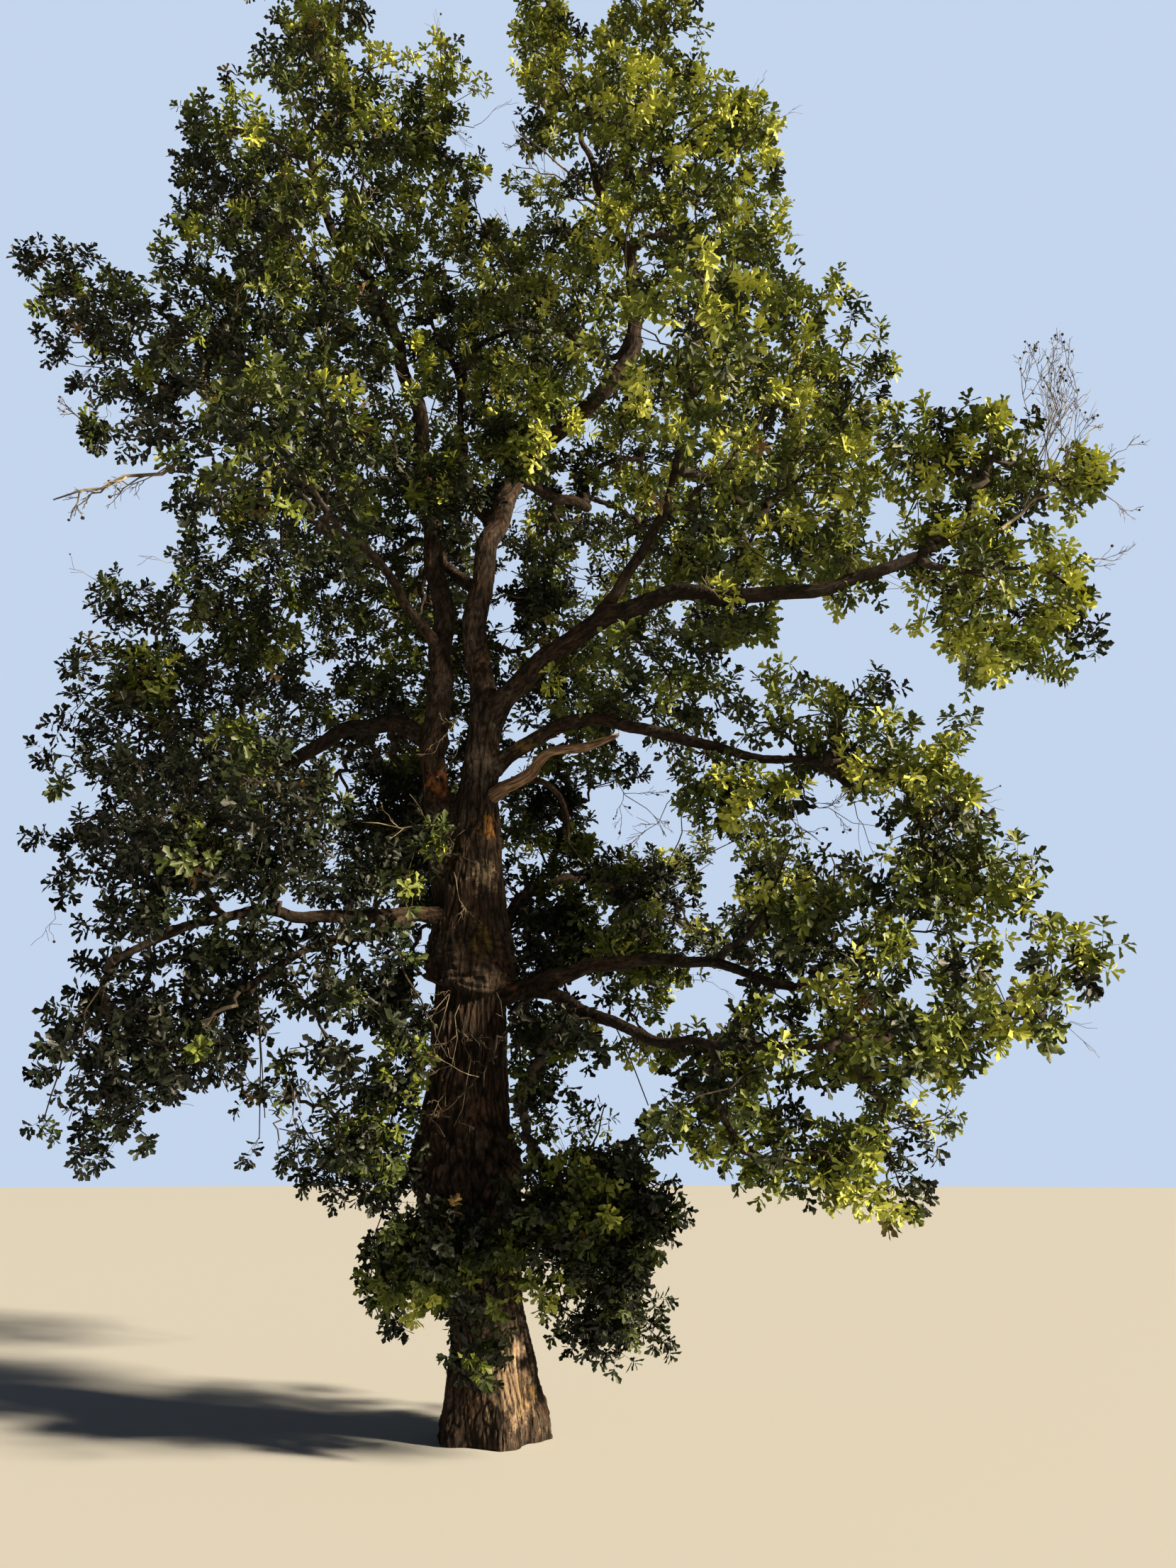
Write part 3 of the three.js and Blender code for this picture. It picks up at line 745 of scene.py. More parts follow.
# The trunk takes a finer skin than the boughs.
centres = np.empty(len(bark_piece.data.polygons) * 3, np.float32)
bark_piece.data.polygons.foreach_get("center", centres)
trunk_line, trunk_radius = limbs["trunk"]
apart = np.linalg.norm(centres.reshape(-1, 1, 3) - trunk_line[None], axis=2)
on_trunk = np.min(apart - trunk_radius[None] * TRUNK_REACH, axis=1) < TRUNK_MARGIN
bark_piece.data.polygons.foreach_set("select", on_trunk)
bpy.ops.object.mode_set(mode="EDIT")
bpy.ops.mesh.select_mode(type="FACE")
bpy.ops.mesh.separate(type="SELECTED")
bpy.ops.object.mode_set(mode="OBJECT")
trunk_piece = next(made for made in bpy.context.selected_objects if made != bark_piece)
trunk_piece.name = "trunk_bark"
finer = trunk_piece.modifiers.new("finer", "SUBSURF")
finer.levels = finer.render_levels = 1
finer.boundary_smooth = "PRESERVE_CORNERS"
bpy.context.view_layer.objects.active = trunk_piece
bpy.ops.object.modifier_apply(modifier="finer")


def grain_frames(lines):
    """Close points along limbs: place along them, limb's number, radius, the point and its three axes."""
    rows = []
    for limb, (line, radius) in enumerate(lines):
        fine = spaced(line, GRAIN_STEP)
        radius = np.interp(np.linspace(0, 1, len(fine)), np.linspace(0, 1, len(radius)), radius)
        ahead = unit(np.gradient(fine, axis=0))
        across = unit(np.cross(ahead[0], ASKEW))
        along = rows[-1][0] + GRAIN_APART if rows else 0
        for step, (point, forward) in enumerate(zip(fine, ahead)):
            across = unit(across - (across @ forward) * forward)
            side = np.cross(forward, across)
            rows.append((along + step * GRAIN_STEP, limb, radius[step], point, across, side, forward))
    return [np.array(column) for column in zip(*rows)]


# So many points are measured at once, to spare memory.
BATCH = 20000


def grain_of(points, frames):
    """Each point's place across and along its limb, the limb's number and radius, and the way out."""
    along, limb, radius, middles, first, second, forward = frames
    owner = np.empty(len(points), int)
    for start in range(0, len(points), BATCH):
        part = points[start:start + BATCH]
        gap = np.linalg.norm(part[:, None] - middles[None], axis=2) - radius[None]
        owner[start:start + BATCH] = np.argmin(gap, axis=1)
    out = points - middles[owner]
    x, y, z = (np.sum(out * axes[owner], axis=1) for axes in (first, second, forward))
    across = out - z[:, None] * forward[owner]
    return np.stack([x, y, along[owner] + z], 1), limb[owner], radius[owner], unit(across)


def bell(places, middle, half):
    """1 at the middle, falling smoothly to 0 at half."""
    return np.clip(1 - ((places - middle) / half) ** 2, 0, 1) ** 2


def rise(values, low, high):
    """0 below low, 1 above high, and smooth between."""
    share = np.clip((values - low) / (high - low), 0, 1)
    return share * share * (3 - 2 * share)


living_frames = grain_frames([limbs[node] for node in wooden_limbs])


def furrows(grain, plate):
    """How high the bark stands at each place of the grain: 0 in a furrow and 1 on a plate."""
    weave = np.stack([smooth_noise(grain / WEAVE_LENGTH + shift) for shift in (3, 17)], 1) * WEAVE
    across = grain[:, :2] + weave
    along = grain[:, 2:] / PLATE_STRETCH
    plate = plate[:, None]
    wide = np.abs(smooth_noise(np.hstack([across, along]) / plate))
    fine = np.abs(smooth_noise(np.hstack([across, along * FINE_SHORTER]) / plate * FINE_CLOSER + 11))
    cracks = np.abs(smooth_noise(np.hstack([across * CRACK_WIDER, grain[:, 2:]]) / plate * CRACK_CLOSER + 5))
    plates = np.minimum(1, FURROW_SLOPE * wide)
    fine_plates = 1 - FINE_SHARE + FINE_SHARE * np.minimum(1, FURROW_SLOPE * fine)
    return plates * fine_plates * (1 - CRACK_SHARE + CRACK_SHARE * np.minimum(1, CRACK_SLOPE * cracks))


def keep_at_points(mesh, name, values):
    """Keeps a number or a place for each point of a mesh, for its material."""
    kind, field = ("FLOAT", "value") if values.ndim == 1 else ("FLOAT_VECTOR", "vector")
    kept_values = mesh.attributes.new(name, kind, "POINT")
    kept_values.data.foreach_set(field, values.astype(np.float32).ravel())


def carve_bark(piece):
    """Raises burls and lumps, cuts furrows and keeps each point's place in the grain for the material."""
    points = mesh_points(piece.data)
    grain, limb, radius, out = grain_of(points, living_frames)
    trunk = limb == 0
    height = points[:, 2]
    size = np.clip(radius / FULL_GIRTH, *GIRTH_SHARES)
    high = furrows(grain, np.where(trunk, PLATE, LIMB_PLATE))
    lumps = LUMP * smooth_noise(grain / LUMP_SIZE + 3) + BROAD_LUMP * smooth_noise(grain / BROAD_LUMP_SIZE)
    knobs = KNOB_SHARES[0] * smooth_noise(points / KNOB_SIZES[0] + 9)
    knobs += KNOB_SHARES[1] * np.abs(smooth_noise(points / KNOB_SIZES[1]))
    knobs += KNOB_SHARES[2] * smooth_noise(points / KNOB_SIZES[2])
    burl = sum(stand * bell(height, middle, half) for middle, half, stand in BURLS)
    # The collar's lower edge is a V, lowest at the front, and its skin is shaggy, with shallower furrows.
    middle_x, middle_y = COLLAR_MIDDLE
    aside = np.abs(np.arctan2(points[:, 0] - middle_x, middle_y - points[:, 1])) / math.pi
    edge = COLLAR_LOW + COLLAR_RISE * aside + COLLAR_RAG * smooth_noise(points / COLLAR_RAG_SIZE + 31)
    lip, waist_end = ([edge + beside for beside in pair] for pair in (COLLAR_LIP, WAIST_END))
    collar = rise(height, *lip) * (1 - rise(height, edge + COLLAR_FULL, COLLAR_TOP))
    waist = rise(height, WAIST_LOW, WAIST_FULL) * (1 - rise(height, *waist_end))
    shag = collar * (SHAG * smooth_noise(points / SHAG_SIZE + 41)
                     + FINE_SHAG * smooth_noise(points / FINE_SHAG_SIZE + 47))
    swell = trunk * (burl * (knobs + BURL_SWELL) + collar * COLLAR_OUT + shag - waist * WAIST_IN)
    depth = FURROW * size * (1 - COLLAR_SMOOTH * collar * trunk)
    shift = depth * (high - 1) + lumps * size + swell
    shift *= np.clip(height / CUT_CALM, 0, 1)
    points += out * shift[:, None]
    points[:, 2] = np.where(height < 0.5 * VOXEL, 0, np.maximum(points[:, 2], 0))
    piece.data.vertices.foreach_set("co", points.astype(np.float32).ravel())
    keep_at_points(piece.data, "grain", grain)
    keep_at_points(piece.data, "furrow", high)
    piece.data.update()


def linear(colour):
    """A colour given as sRGB hex, in the linear numbers that a shader takes."""
    parts = [int(colour[place:place + 2], 16) / 255 for place in (1, 3, 5)]
    parts = [part / 12.92 if part <= 0.04045 else ((part + 0.055) / 1.055) ** 2.4 for part in parts]
    return (*parts, 1.0)


def new_material(name):
    """A material, its nodes and its Principled shader."""
    material = bpy.data.materials.new(name)
    material.use_nodes = True
    return material, material.node_tree, material.node_tree.nodes["Principled BSDF"]


def add_node(tree, kind, settings=None, inputs=None, stops=()):
    """Adds a node with its settings, and gives each input a value or another node's output.

    The stops of a colour ramp are pairs of a value and a colour.
    """
    made = tree.nodes.new(kind)
    for name, value in (settings or {}).items():
        setattr(made, name, value)
    for name, value in (inputs or {}).items():
        if isinstance(value, bpy.types.NodeSocket):
            tree.links.new(value, made.inputs[name])
        else:
            made.inputs[name].default_value = value
    for _ in stops[2:]:
        made.color_ramp.elements.new(0.5)
    for number, (place, colour) in enumerate(stops):
        made.color_ramp.elements[number].position = place
        made.color_ramp.elements[number].color = linear(colour)
    return made


# Lichen, moss, worn wood and painted sunlight: middle of the patch, its radius, its colour and how thick
# it is.
PATCHES = (
    ((-0.70, -0.24, 6.18), 0.18, "#b06c3a", 0.9),
    ((-0.22, -0.27, 6.40), 0.26, "#8a7d70", 0.6),
    ((-0.10, -0.27, 5.75), 0.16, "#ab7636", 0.85),
    ((0.02, -0.26, 5.55), 0.13, "#a07a3c", 0.7),
    # Painted sunlight: the pale strip on the trunk's lit right side.
    ((-0.14, -0.35, 5.18), 0.17, "#b09c80", 0.7),
    ((-0.12, -0.44, 4.52), 0.18, "#86702f", 0.6),
    ((0.06, -0.32, 4.22), 0.13, "#79503e", 0.6),
    ((-0.62, -0.30, 2.75), 0.16, "#a0735f", 0.6),
    ((-0.10, -0.42, 2.85), 0.18, "#7d5c49", 0.5),
    # The two pale patches: partly the pale grey-brown of the foot's bark and partly painted sunlight on its
    # right side.
    ((0.20, -0.45, 0.88), 0.38, "#d8bca2", 0.95),
    ((0.28, -0.42, 0.48), 0.36, "#c4a88c", 0.85),
    ((0.45, -0.34, 0.42), 0.20, "#ac862f", 0.85),
    ((0.58, -0.26, 0.14), 0.12, "#b08f48", 0.8),
    ((0.22, -0.35, 6.54), 0.15, "#92703a", 0.7),
    ((-0.19, -0.10, 7.60), 0.15, "#937454", 0.6),
    ((0.35, -0.35, 3.72), 0.16, "#63552d", 0.6),
    ((-2.10, -0.35, 6.95), 0.20, "#66582f", 0.5),
)
# Bark from above, dry and brown on the plates, and nearly black in the furrows, partly of the moisture and
# dust that stay there and partly painted shade.
bark_material, tree, shader = new_material("furrowed_oak_bark")
grain = add_node(tree, "ShaderNodeAttribute", {"attribute_name": "grain"}).outputs["Vector"]
furrow = add_node(tree, "ShaderNodeAttribute", {"attribute_name": "furrow"}).outputs["Fac"]
place = add_node(tree, "ShaderNodeTexCoord").outputs["Object"]
# Fibres are 8 mm wide and six times longer. Real ones are 2 to 3 mm wide, too fine to be seen from 12 m.
fibre_grain = add_node(tree, "ShaderNodeMapping", inputs={"Vector": grain, "Scale": (1, 1, 0.17)})
fibre = add_node(tree, "ShaderNodeTexNoise", inputs={
    "Vector": fibre_grain.outputs["Vector"], "Scale": 60.0, "Detail": 5.0, "Roughness": 0.65}).outputs["Fac"]
# Weather stains the bark brown and grey by turns, in patches of 0.2 m.
stain = add_node(tree, "ShaderNodeTexNoise", inputs={
    "Vector": place, "Scale": 2.6, "Detail": 6.0, "Roughness": 0.6}).outputs["Fac"]
brown_plate = add_node(tree, "ShaderNodeValToRGB", inputs={"Fac": fibre}, stops=(
    (0.25, "#1a1310"), (0.50, "#3c2c22"), (0.75, "#6b5543"))).outputs["Color"]
grey_plate = add_node(tree, "ShaderNodeValToRGB", inputs={"Fac": fibre}, stops=(
    (0.25, "#201a16"), (0.55, "#50443b"), (0.80, "#877a6d"))).outputs["Color"]
grey_share = add_node(tree, "ShaderNodeValToRGB", inputs={"Fac": stain}, stops=(
    (0.42, "#000000"), (0.62, "#ffffff"))).outputs["Color"]
stained = add_node(tree, "ShaderNodeMix", {"data_type": "RGBA"}, {
    0: grey_share, 6: brown_plate, 7: grey_plate}).outputs[2]
# Painted shade: the furrows' depth darkens the colour to nearly black.
plate_share = add_node(tree, "ShaderNodeValToRGB", inputs={"Fac": furrow}, stops=(
    (0.10, "#000000"), (0.85, "#ffffff"))).outputs["Color"]
colour = add_node(tree, "ShaderNodeMix", {"data_type": "RGBA"}, {
    0: plate_share, 6: linear("#16110d"), 7: stained}).outputs[2]
# Patches fray at their edges in tongues of 50 mm; lichen and painted sunlight alike lie on the plates and
# leave the furrows free.
ragged = add_node(tree, "ShaderNodeTexNoise", inputs={
    "Vector": place, "Scale": 9.0, "Detail": 6.0, "Roughness": 0.75}).outputs["Fac"]
frayed = add_node(tree, "ShaderNodeMath", {"operation": "MULTIPLY_ADD"}, {
    0: ragged, 1: -1.0, 2: 0.5}).outputs[0]
for middle, radius, patch_colour, thick in PATCHES:
    gap = add_node(tree, "ShaderNodeVectorMath", {"operation": "DISTANCE"}, {
        0: place, 1: middle}).outputs["Value"]
    edge = add_node(tree, "ShaderNodeMath", {"operation": "ADD"}, {0: gap, 1: frayed}).outputs[0]
    cover = add_node(tree, "ShaderNodeMapRange", inputs={
        "Value": edge, "From Min": radius, "From Max": radius * 0.5, "To Max": thick}).outputs["Result"]
    grown = add_node(tree, "ShaderNodeMath", {"operation": "MULTIPLY"}, {0: cover, 1: furrow}).outputs[0]
    colour = add_node(tree, "ShaderNodeMix", {"data_type": "RGBA"}, {
        0: grown, 6: colour, 7: linear(patch_colour)}).outputs[2]
# Painted shade: out along the boughs the bark is darker, as in the shade of the crown over them.
across = add_node(tree, "ShaderNodeVectorMath", {"operation": "MULTIPLY"}, {0: place, 1: (1, 1, 0)})
from_middle = add_node(tree, "ShaderNodeVectorMath", {"operation": "LENGTH"}, {0: across.outputs["Vector"]})
painted_bough_shade = add_node(tree, "ShaderNodeMapRange", inputs={
    "Value": from_middle.outputs["Value"], "From Min": 0.9, "From Max": 2.2, "To Max": 0.6})
colour = add_node(tree, "ShaderNodeMix", {"data_type": "RGBA"}, {
    0: painted_bough_shade.outputs["Result"], 6: colour, 7: linear("#100c09")}).outputs[2]
tree.links.new(colour, shader.inputs["Base Color"])
shader.inputs["Roughness"].default_value = 0.92
shader.inputs["Specular IOR Level"].default_value = 0.25
relief = add_node(tree, "ShaderNodeMath", {"operation": "MULTIPLY_ADD"}, {
    0: furrow, 1: 0.5, 2: fibre}).outputs[0]
bump = add_node(tree, "ShaderNodeBump", inputs={"Height": relief, "Strength": 1.0, "Distance": 0.014})
tree.links.new(bump.outputs["Normal"], shader.inputs["Normal"])

bough_nodes = [node for node in living_limbs if node != "trunk"]
for piece, nodes in ((trunk_piece, ["trunk"]), (bark_piece, bough_nodes)):
    carve_bark(piece)
    piece.data.materials.clear()
    piece.data.materials.append(bark_material)
    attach(piece, "root")
    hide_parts(*nodes)

# The bark of the small boughs and twigs: young oak wood, grey-brown and nearly smooth, mottled by lichen in
# spots of 20 mm. Their wood was drawn above, with the branching.


def mottled_material(name, roughness, scale, detail, stops):
    """A material of one colour that goes over into others in soft spots, as dry or young wood does."""
    material, tree, shader = new_material(name)
    place = add_node(tree, "ShaderNodeTexCoord").outputs["Object"]
    mottle = add_node(tree, "ShaderNodeTexNoise", inputs={"Vector": place, "Scale": scale, "Detail": detail})
    spots = add_node(tree, "ShaderNodeValToRGB", inputs={"Fac": mottle.outputs["Fac"]}, stops=stops)
    tree.links.new(spots.outputs["Color"], shader.inputs["Base Color"])
    shader.inputs["Roughness"].default_value = roughness
    return material


young_wood = mottled_material("young_oak_bark", 0.88, 22.0, 4.0,
                              ((0.3, "#17120e"), (0.55, "#33291f"), (0.75, "#5c5142")))
small_bough_piece.data.materials.append(young_wood)
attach(small_bough_piece, "root")

# The dead stub: the broken end of a bough that has lost its bark. Its wood is cream and grey, and split
# lengthwise by drying.
STUB_SIDES = 20
STUB_STEP = 0.03
STUB_CURVE_STEPS = 6
STUB_CROOK = 0.018
# Places along the stub, as shares of its length, and the radius at each.
STUB_TAPER = (0, 0.3, 0.6, 0.9, 1), (0.095, 0.068, 0.055, 0.042, 0.028)
# The splits and the swellings at knots: depth or height, and size round and along the stub.
SPLIT, SPLIT_SIZE = 0.010, (0.03, 0.03, 0.5)
SPLIT_SLOPE = 3
KNOT, KNOT_SIZE = 0.016, (0.05, 0.05, 0.16)
# The splinters of the broken end: where they start below it, their length and their thickness.
SPLINTER_START, SPLINTER, SPLINTER_THICK = 0.02, 0.06, 0.015

stub_line, stub_radius = limbs["dead_stub"]
stub_line = np.concatenate([[trunk_line[nearest_on(trunk_line, stub_line[:1])[0]]], stub_line])
stub_rng = np.random.default_rng(seed=5)
stub_line[2:-1] += stub_rng.normal(0, STUB_CROOK, stub_line[2:-1].shape)
stub_line = spaced(curve_through(stub_line, STUB_CURVE_STEPS), STUB_STEP)
stub_radius = np.interp(np.linspace(0, 1, len(stub_line)), *STUB_TAPER)
stub_tube = sweep(stub_line[None], stub_radius[None], STUB_SIDES)
stub_piece = mesh_piece("dead_stub_wood", *joined_tubes([stub_tube]))
points = mesh_points(stub_piece.data)
stub_grain, _, _, out = grain_of(points, grain_frames([(stub_line, stub_radius)]))
split = np.minimum(1, SPLIT_SLOPE * np.abs(smooth_noise(stub_grain / SPLIT_SIZE + 2)))
knots_out = KNOT * smooth_noise(stub_grain / KNOT_SIZE + 8)
points += out * (SPLIT * (split - 1) + knots_out)[:, None]
broken = stub_grain[:, 2] > stub_grain[:, 2].max() - SPLINTER_START
splinters = smooth_noise(points[broken] / SPLINTER_THICK)[:, None]
points[broken] += unit(stub_line[-1] - stub_line[-2]) * splinters * SPLINTER
stub_piece.data.vertices.foreach_set("co", points.astype(np.float32).ravel())
keep_at_points(stub_piece.data, "grain", stub_grain)

# Bare oak, weathered by sun and rain: fibres 7 mm wide and ten times longer, coarser than the real 2 mm.
bare_wood, tree, shader = new_material("weathered_bare_oak")
grain = add_node(tree, "ShaderNodeAttribute", {"attribute_name": "grain"}).outputs["Vector"]
fibre_grain = add_node(tree, "ShaderNodeMapping", inputs={"Vector": grain, "Scale": (1, 1, 0.1)})
fibre = add_node(tree, "ShaderNodeTexNoise", inputs={
    "Vector": fibre_grain.outputs["Vector"], "Scale": 70.0, "Detail": 4.0}).outputs["Fac"]
bare_colour = add_node(tree, "ShaderNodeValToRGB", inputs={"Fac": fibre}, stops=(
    (0.32, "#2c2018"), (0.50, "#7a5c46"), (0.72, "#c2a27c"))).outputs["Color"]
tree.links.new(bare_colour, shader.inputs["Base Color"])
shader.inputs["Roughness"].default_value = 0.85
bump = add_node(tree, "ShaderNodeBump", inputs={"Height": fibre, "Strength": 0.8, "Distance": 0.006})
tree.links.new(bump.outputs["Normal"], shader.inputs["Normal"])
stub_piece.data.materials.append(bare_wood)
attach(stub_piece, "root")
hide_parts("dead_stub")

# The dead branches: bare twigs on the crown's edge, in its gaps and on the trunk, which died in the shade
# and never fell. They fork again and again. The dead spire at the right is the largest.
# Each has the pixel where it leaves the live wood, the pixel of its tip, its radius, and how often it forks.
DEAD_BRANCHES_PX = (
    ((238, 645), (75, 705), 0.020, 3), ((172, 640), (92, 570), 0.014, 3),
    ((232, 660), (170, 690), 0.009, 2), ((860, 300), (735, 190), 0.022, 3),
    ((790, 240), (722, 258), 0.010, 2), ((640, 175), (668, 205), 0.006, 2),
    ((1035, 1130), (1090, 1100), 0.008, 2), ((1530, 660), (1598, 620), 0.008, 2),
    ((1560, 700), (1600, 722), 0.007, 2), ((1545, 790), (1592, 782), 0.006, 2),
    ((1120, 1180), (1060, 1130), 0.008, 2), ((405, 1215), (350, 1278), 0.008, 1),
    ((1105, 1110), (1235, 1165), 0.008, 3), ((1090, 1150), (1160, 1190), 0.007, 2),
    ((850, 1090), (940, 1180), 0.008, 3), ((970, 1100), (890, 1190), 0.007, 2),
    ((1250, 1570), (1300, 1600), 0.006, 2), ((560, 420), (560, 470), 0.008, 2),
    ((735, 990), (728, 925), 0.014, 1), ((400, 1500), (420, 1590), 0.008, 2),
    ((870, 560), (886, 500), 0.036, 0), ((620, 560), (640, 480), 0.012, 2),
    ((700, 520), (760, 470), 0.012, 2), ((470, 620), (520, 560), 0.010, 2),
    ((560, 700), (500, 640), 0.012, 2), ((300, 520), (350, 600), 0.010, 2),
    ((900, 1250), (960, 1215), 0.008, 2), ((820, 1330), (880, 1300), 0.008, 2),
    ((440, 300), (400, 230), 0.010, 2), ((520, 330), (480, 240), 0.010, 2),
)
# Those that hang before the trunk and the left stem, and how far before its middle they start and end.
TRUNK_TWIGS_PX = (
    ((640, 1165), (510, 1160), 0.013, 2), ((600, 1160), (560, 1285), 0.009, 2),
    ((650, 1005), (612, 1065), 0.007, 2), ((655, 1030), (636, 1085), 0.006, 1),
    ((640, 1380), (612, 1500), 0.008, 2), ((655, 1400), (628, 1560), 0.008, 3),
    ((665, 1440), (640, 1590), 0.007, 2), ((640, 1230), (655, 1300), 0.007, 2),
    ((700, 1400), (720, 1480), 0.007, 1),
)
TRUNK_TWIG_STARTS, TRUNK_TWIG_ENDS = -0.30, -0.68
# The dead spire: its root's and tip's radius, how deep its root is sunk, and its branches' tips.
SPIRE_THICKNESS = 0.022, 0.011
SPIRE_SIDES = 7
SPIRE_STEPS = 3
SPIRE_SUNK = 0.3
SPIRE_TIPS_PX = (
    (1492, 487), (1478, 505), (1440, 520), (1540, 548), (1512, 520), (1424, 590), (1545, 600), (1500, 560),
)
SPIRE_BRANCH_RADIUS, SPIRE_BRANCH_FORKS = 0.009, 3
# How far a tip lies from its root's place in depth, at random: that of a branch, and that of a spire branch.
TIP_DEPTH, SPIRE_TIP_DEPTH = 0.08, 0.25
# Dead shoots in the crown: their number, the height above which they are, their lengths and their radius.
INNER_TWIGS = 170
INNER_TWIGS_ABOVE = 3.0
INNER_TWIG_LENGTHS = 0.35, 0.8
INNER_TWIG_RADIUS = 0.005
# A branch is drawn in so many steps, fewer if it doesn't fork, and strays by this share of a step. It stays
# within so much of the solids' box.
FORKED_STEPS, PLAIN_STEPS = 5, 3
TWIG_CROOK = 0.16
TWIG_BOX_SLACK = 0.30, 0.22, 0.30
# It tapers to this share of its radius. Above the stout radius it has more sides.
TWIG_TAPER, TWIG_TIP = 0.35, 0.0022
STOUT_TWIG, STOUT_SIDES, THIN_SIDES = 0.012, 5, 3
# Its own branches: how many it has if they fork again, and else, between which shares of its length they
# start, how far they turn aside and up, how long they are beside it, and how thick.
MANY_BRANCHES, FEW_BRANCHES = 4, 3
BRANCH_STARTS = 0.2, 0.95
FORK_ANGLE = 0.75
FORK_LIFT = 0.12
BRANCH_REACH = 0.35, 0.6
ROOT_REACH, REACH_LOSS = 1.05, 0.5
BRANCH_RADIUS, LEAST_BRANCH = 0.55, 0.0028

dead_rng = np.random.default_rng(seed=59)
dead_tubes, dead_tips = [], []
live_places = np.concatenate([knots, wood_line])
live_seen, _ = in_photo(live_places)
twig_box = np.array((cad_low, cad_high)) + np.outer((-1, 1), TWIG_BOX_SLACK)


def grow_bare(root, tip, radius, forks):
    """A bare crooked branch from root towards tip, and its own branches, which fork one time less."""
    steps = FORKED_STEPS if forks else PLAIN_STEPS
    length = np.linalg.norm(tip - root)
    path = root + (tip - root) * np.linspace(0, 1, steps + 1)[:, None]
    path[1:-1] += dead_rng.normal(0, TWIG_CROOK * length / steps, (steps - 1, 3))
    path = np.clip(path, *twig_box)
    radii = np.linspace(radius, max(TWIG_TIP, radius * TWIG_TAPER), steps + 1)
    dead_tubes.append(sweep(path[None], radii[None], STOUT_SIDES if radius > STOUT_TWIG else THIN_SIDES))
    dead_tips.append(path[-1])
    if not forks:
        return
    for share in dead_rng.uniform(*BRANCH_STARTS, MANY_BRANCHES if forks > 1 else FEW_BRANCHES):
        start = np.array([np.interp(share * steps, range(steps + 1), path[:, axis]) for axis in range(3)])
        away = unit(unit(tip - root) + FORK_ANGLE * unit(dead_rng.normal(size=3)) + FORK_LIFT * UP)
        reach = length * (ROOT_REACH - REACH_LOSS * share) * dead_rng.uniform(*BRANCH_REACH)
        grow_bare(start, start + away * reach, max(LEAST_BRANCH, radius * BRANCH_RADIUS), forks - 1)


for base_pixel, tip_pixel, radius, forks in DEAD_BRANCHES_PX:
    start = live_places[np.argmin(np.linalg.norm(live_seen - base_pixel, axis=1))]
    grow_bare(start, place_seen(tip_pixel, start[1] + dead_rng.normal(0, TIP_DEPTH)), radius, forks)
for base_pixel, tip_pixel, radius, forks in TRUNK_TWIGS_PX:
    start = place_seen(base_pixel, TRUNK_TWIG_STARTS)
    grow_bare(start, place_seen(tip_pixel, TRUNK_TWIG_ENDS), radius, forks)
spire_line, _ = limbs["dead_spire"]
spire_root = spire_line[0] - SPIRE_SUNK * unit(spire_line[1] - spire_line[0])
spire_path = curve_through(np.concatenate([[spire_root], spire_line]), SPIRE_STEPS)
spire_radii = np.linspace(*SPIRE_THICKNESS, len(spire_path))
dead_tubes.append(sweep(spire_path[None], spire_radii[None], SPIRE_SIDES))
# The spire's branches start from four points near its tip by turns.
for number, pixel in enumerate(SPIRE_TIPS_PX):
    start = spire_path[-1 - 2 * (number % 4)]
    tip = place_seen(pixel, start[1] + dead_rng.normal(0, SPIRE_TIP_DEPTH))
    grow_bare(start, tip, SPIRE_BRANCH_RADIUS, SPIRE_BRANCH_FORKS)
inner = dead_rng.choice(np.flatnonzero(knots[:, 2] > INNER_TWIGS_ABOVE), INNER_TWIGS, replace=False)
for start, ahead in zip(knots[inner], spray_out[inner]):
    ahead = unit(ahead + unit(dead_rng.normal(size=3)))
    grow_bare(start, start + ahead * dead_rng.uniform(*INNER_TWIG_LENGTHS), INNER_TWIG_RADIUS, 1)
dead_piece = mesh_piece("dead_twigs", *joined_tubes(dead_tubes))
# Dead twigs are bleached grey, with stretches of 70 mm where brown bark is left.
dead_twig_wood = mottled_material("dead_oak_twig", 0.9, 7.0, 4.0,
                                  ((0.35, "#3a3128"), (0.52, "#6d6252"), (0.68, "#a3987f")))
dead_piece.data.materials.append(dead_twig_wood)
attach(dead_piece, "root")
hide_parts("dead_spire")

# The galls: dry brown balls, 2 to 4 cm across, which stay at the tips of dead twigs. The oak grows one round
# the grub of a gall wasp.
GALL_RADIUS = 0.016
GALL_SIZES = 0.6, 1.2
GALL_SHARE = 0.12

bpy.ops.object.select_all(action="DESELECT")
bpy.ops.mesh.primitive_ico_sphere_add(subdivisions=1, radius=GALL_RADIUS)
gall = bpy.context.object
gall_points = mesh_points(gall.data)
gall_faces = np.array([face.vertices[:] for face in gall.data.polygons])
bpy.data.objects.remove(gall)
with_gall = np.array(dead_tips)[dead_rng.random(len(dead_tips)) < GALL_SHARE]
gall_size = dead_rng.uniform(*GALL_SIZES, (len(with_gall), 1, 1))
all_galls = with_gall[:, None] + gall_points[None] * gall_size
gall_faces = np.arange(len(with_gall))[:, None, None] * len(gall_points) + gall_faces[None]
gall_piece = mesh_piece("galls", all_galls.reshape(-1, 3), [gall_faces.reshape(-1, 3)])
# A gall's skin is dry and half matt, brown with darker spots of 8 mm.
gall_skin = mottled_material("dry_gall_skin", 0.7, 60.0, 2.0, ((0.35, "#20140d"), (0.65, "#4a3120")))
gall_piece.data.materials.append(gall_skin)
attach(gall_piece, "root")

# The twigs: a hand of short shoots at each spray, turned out and up to the light, each with its leaves. Low
# on the tree, under the weight of their leaves, they hang.
SHOOTS = 4
SHOOT_LENGTH = 0.09, 0.25
SHOOT_RADIUS = 0.0042
TWIG_SIDES = 3
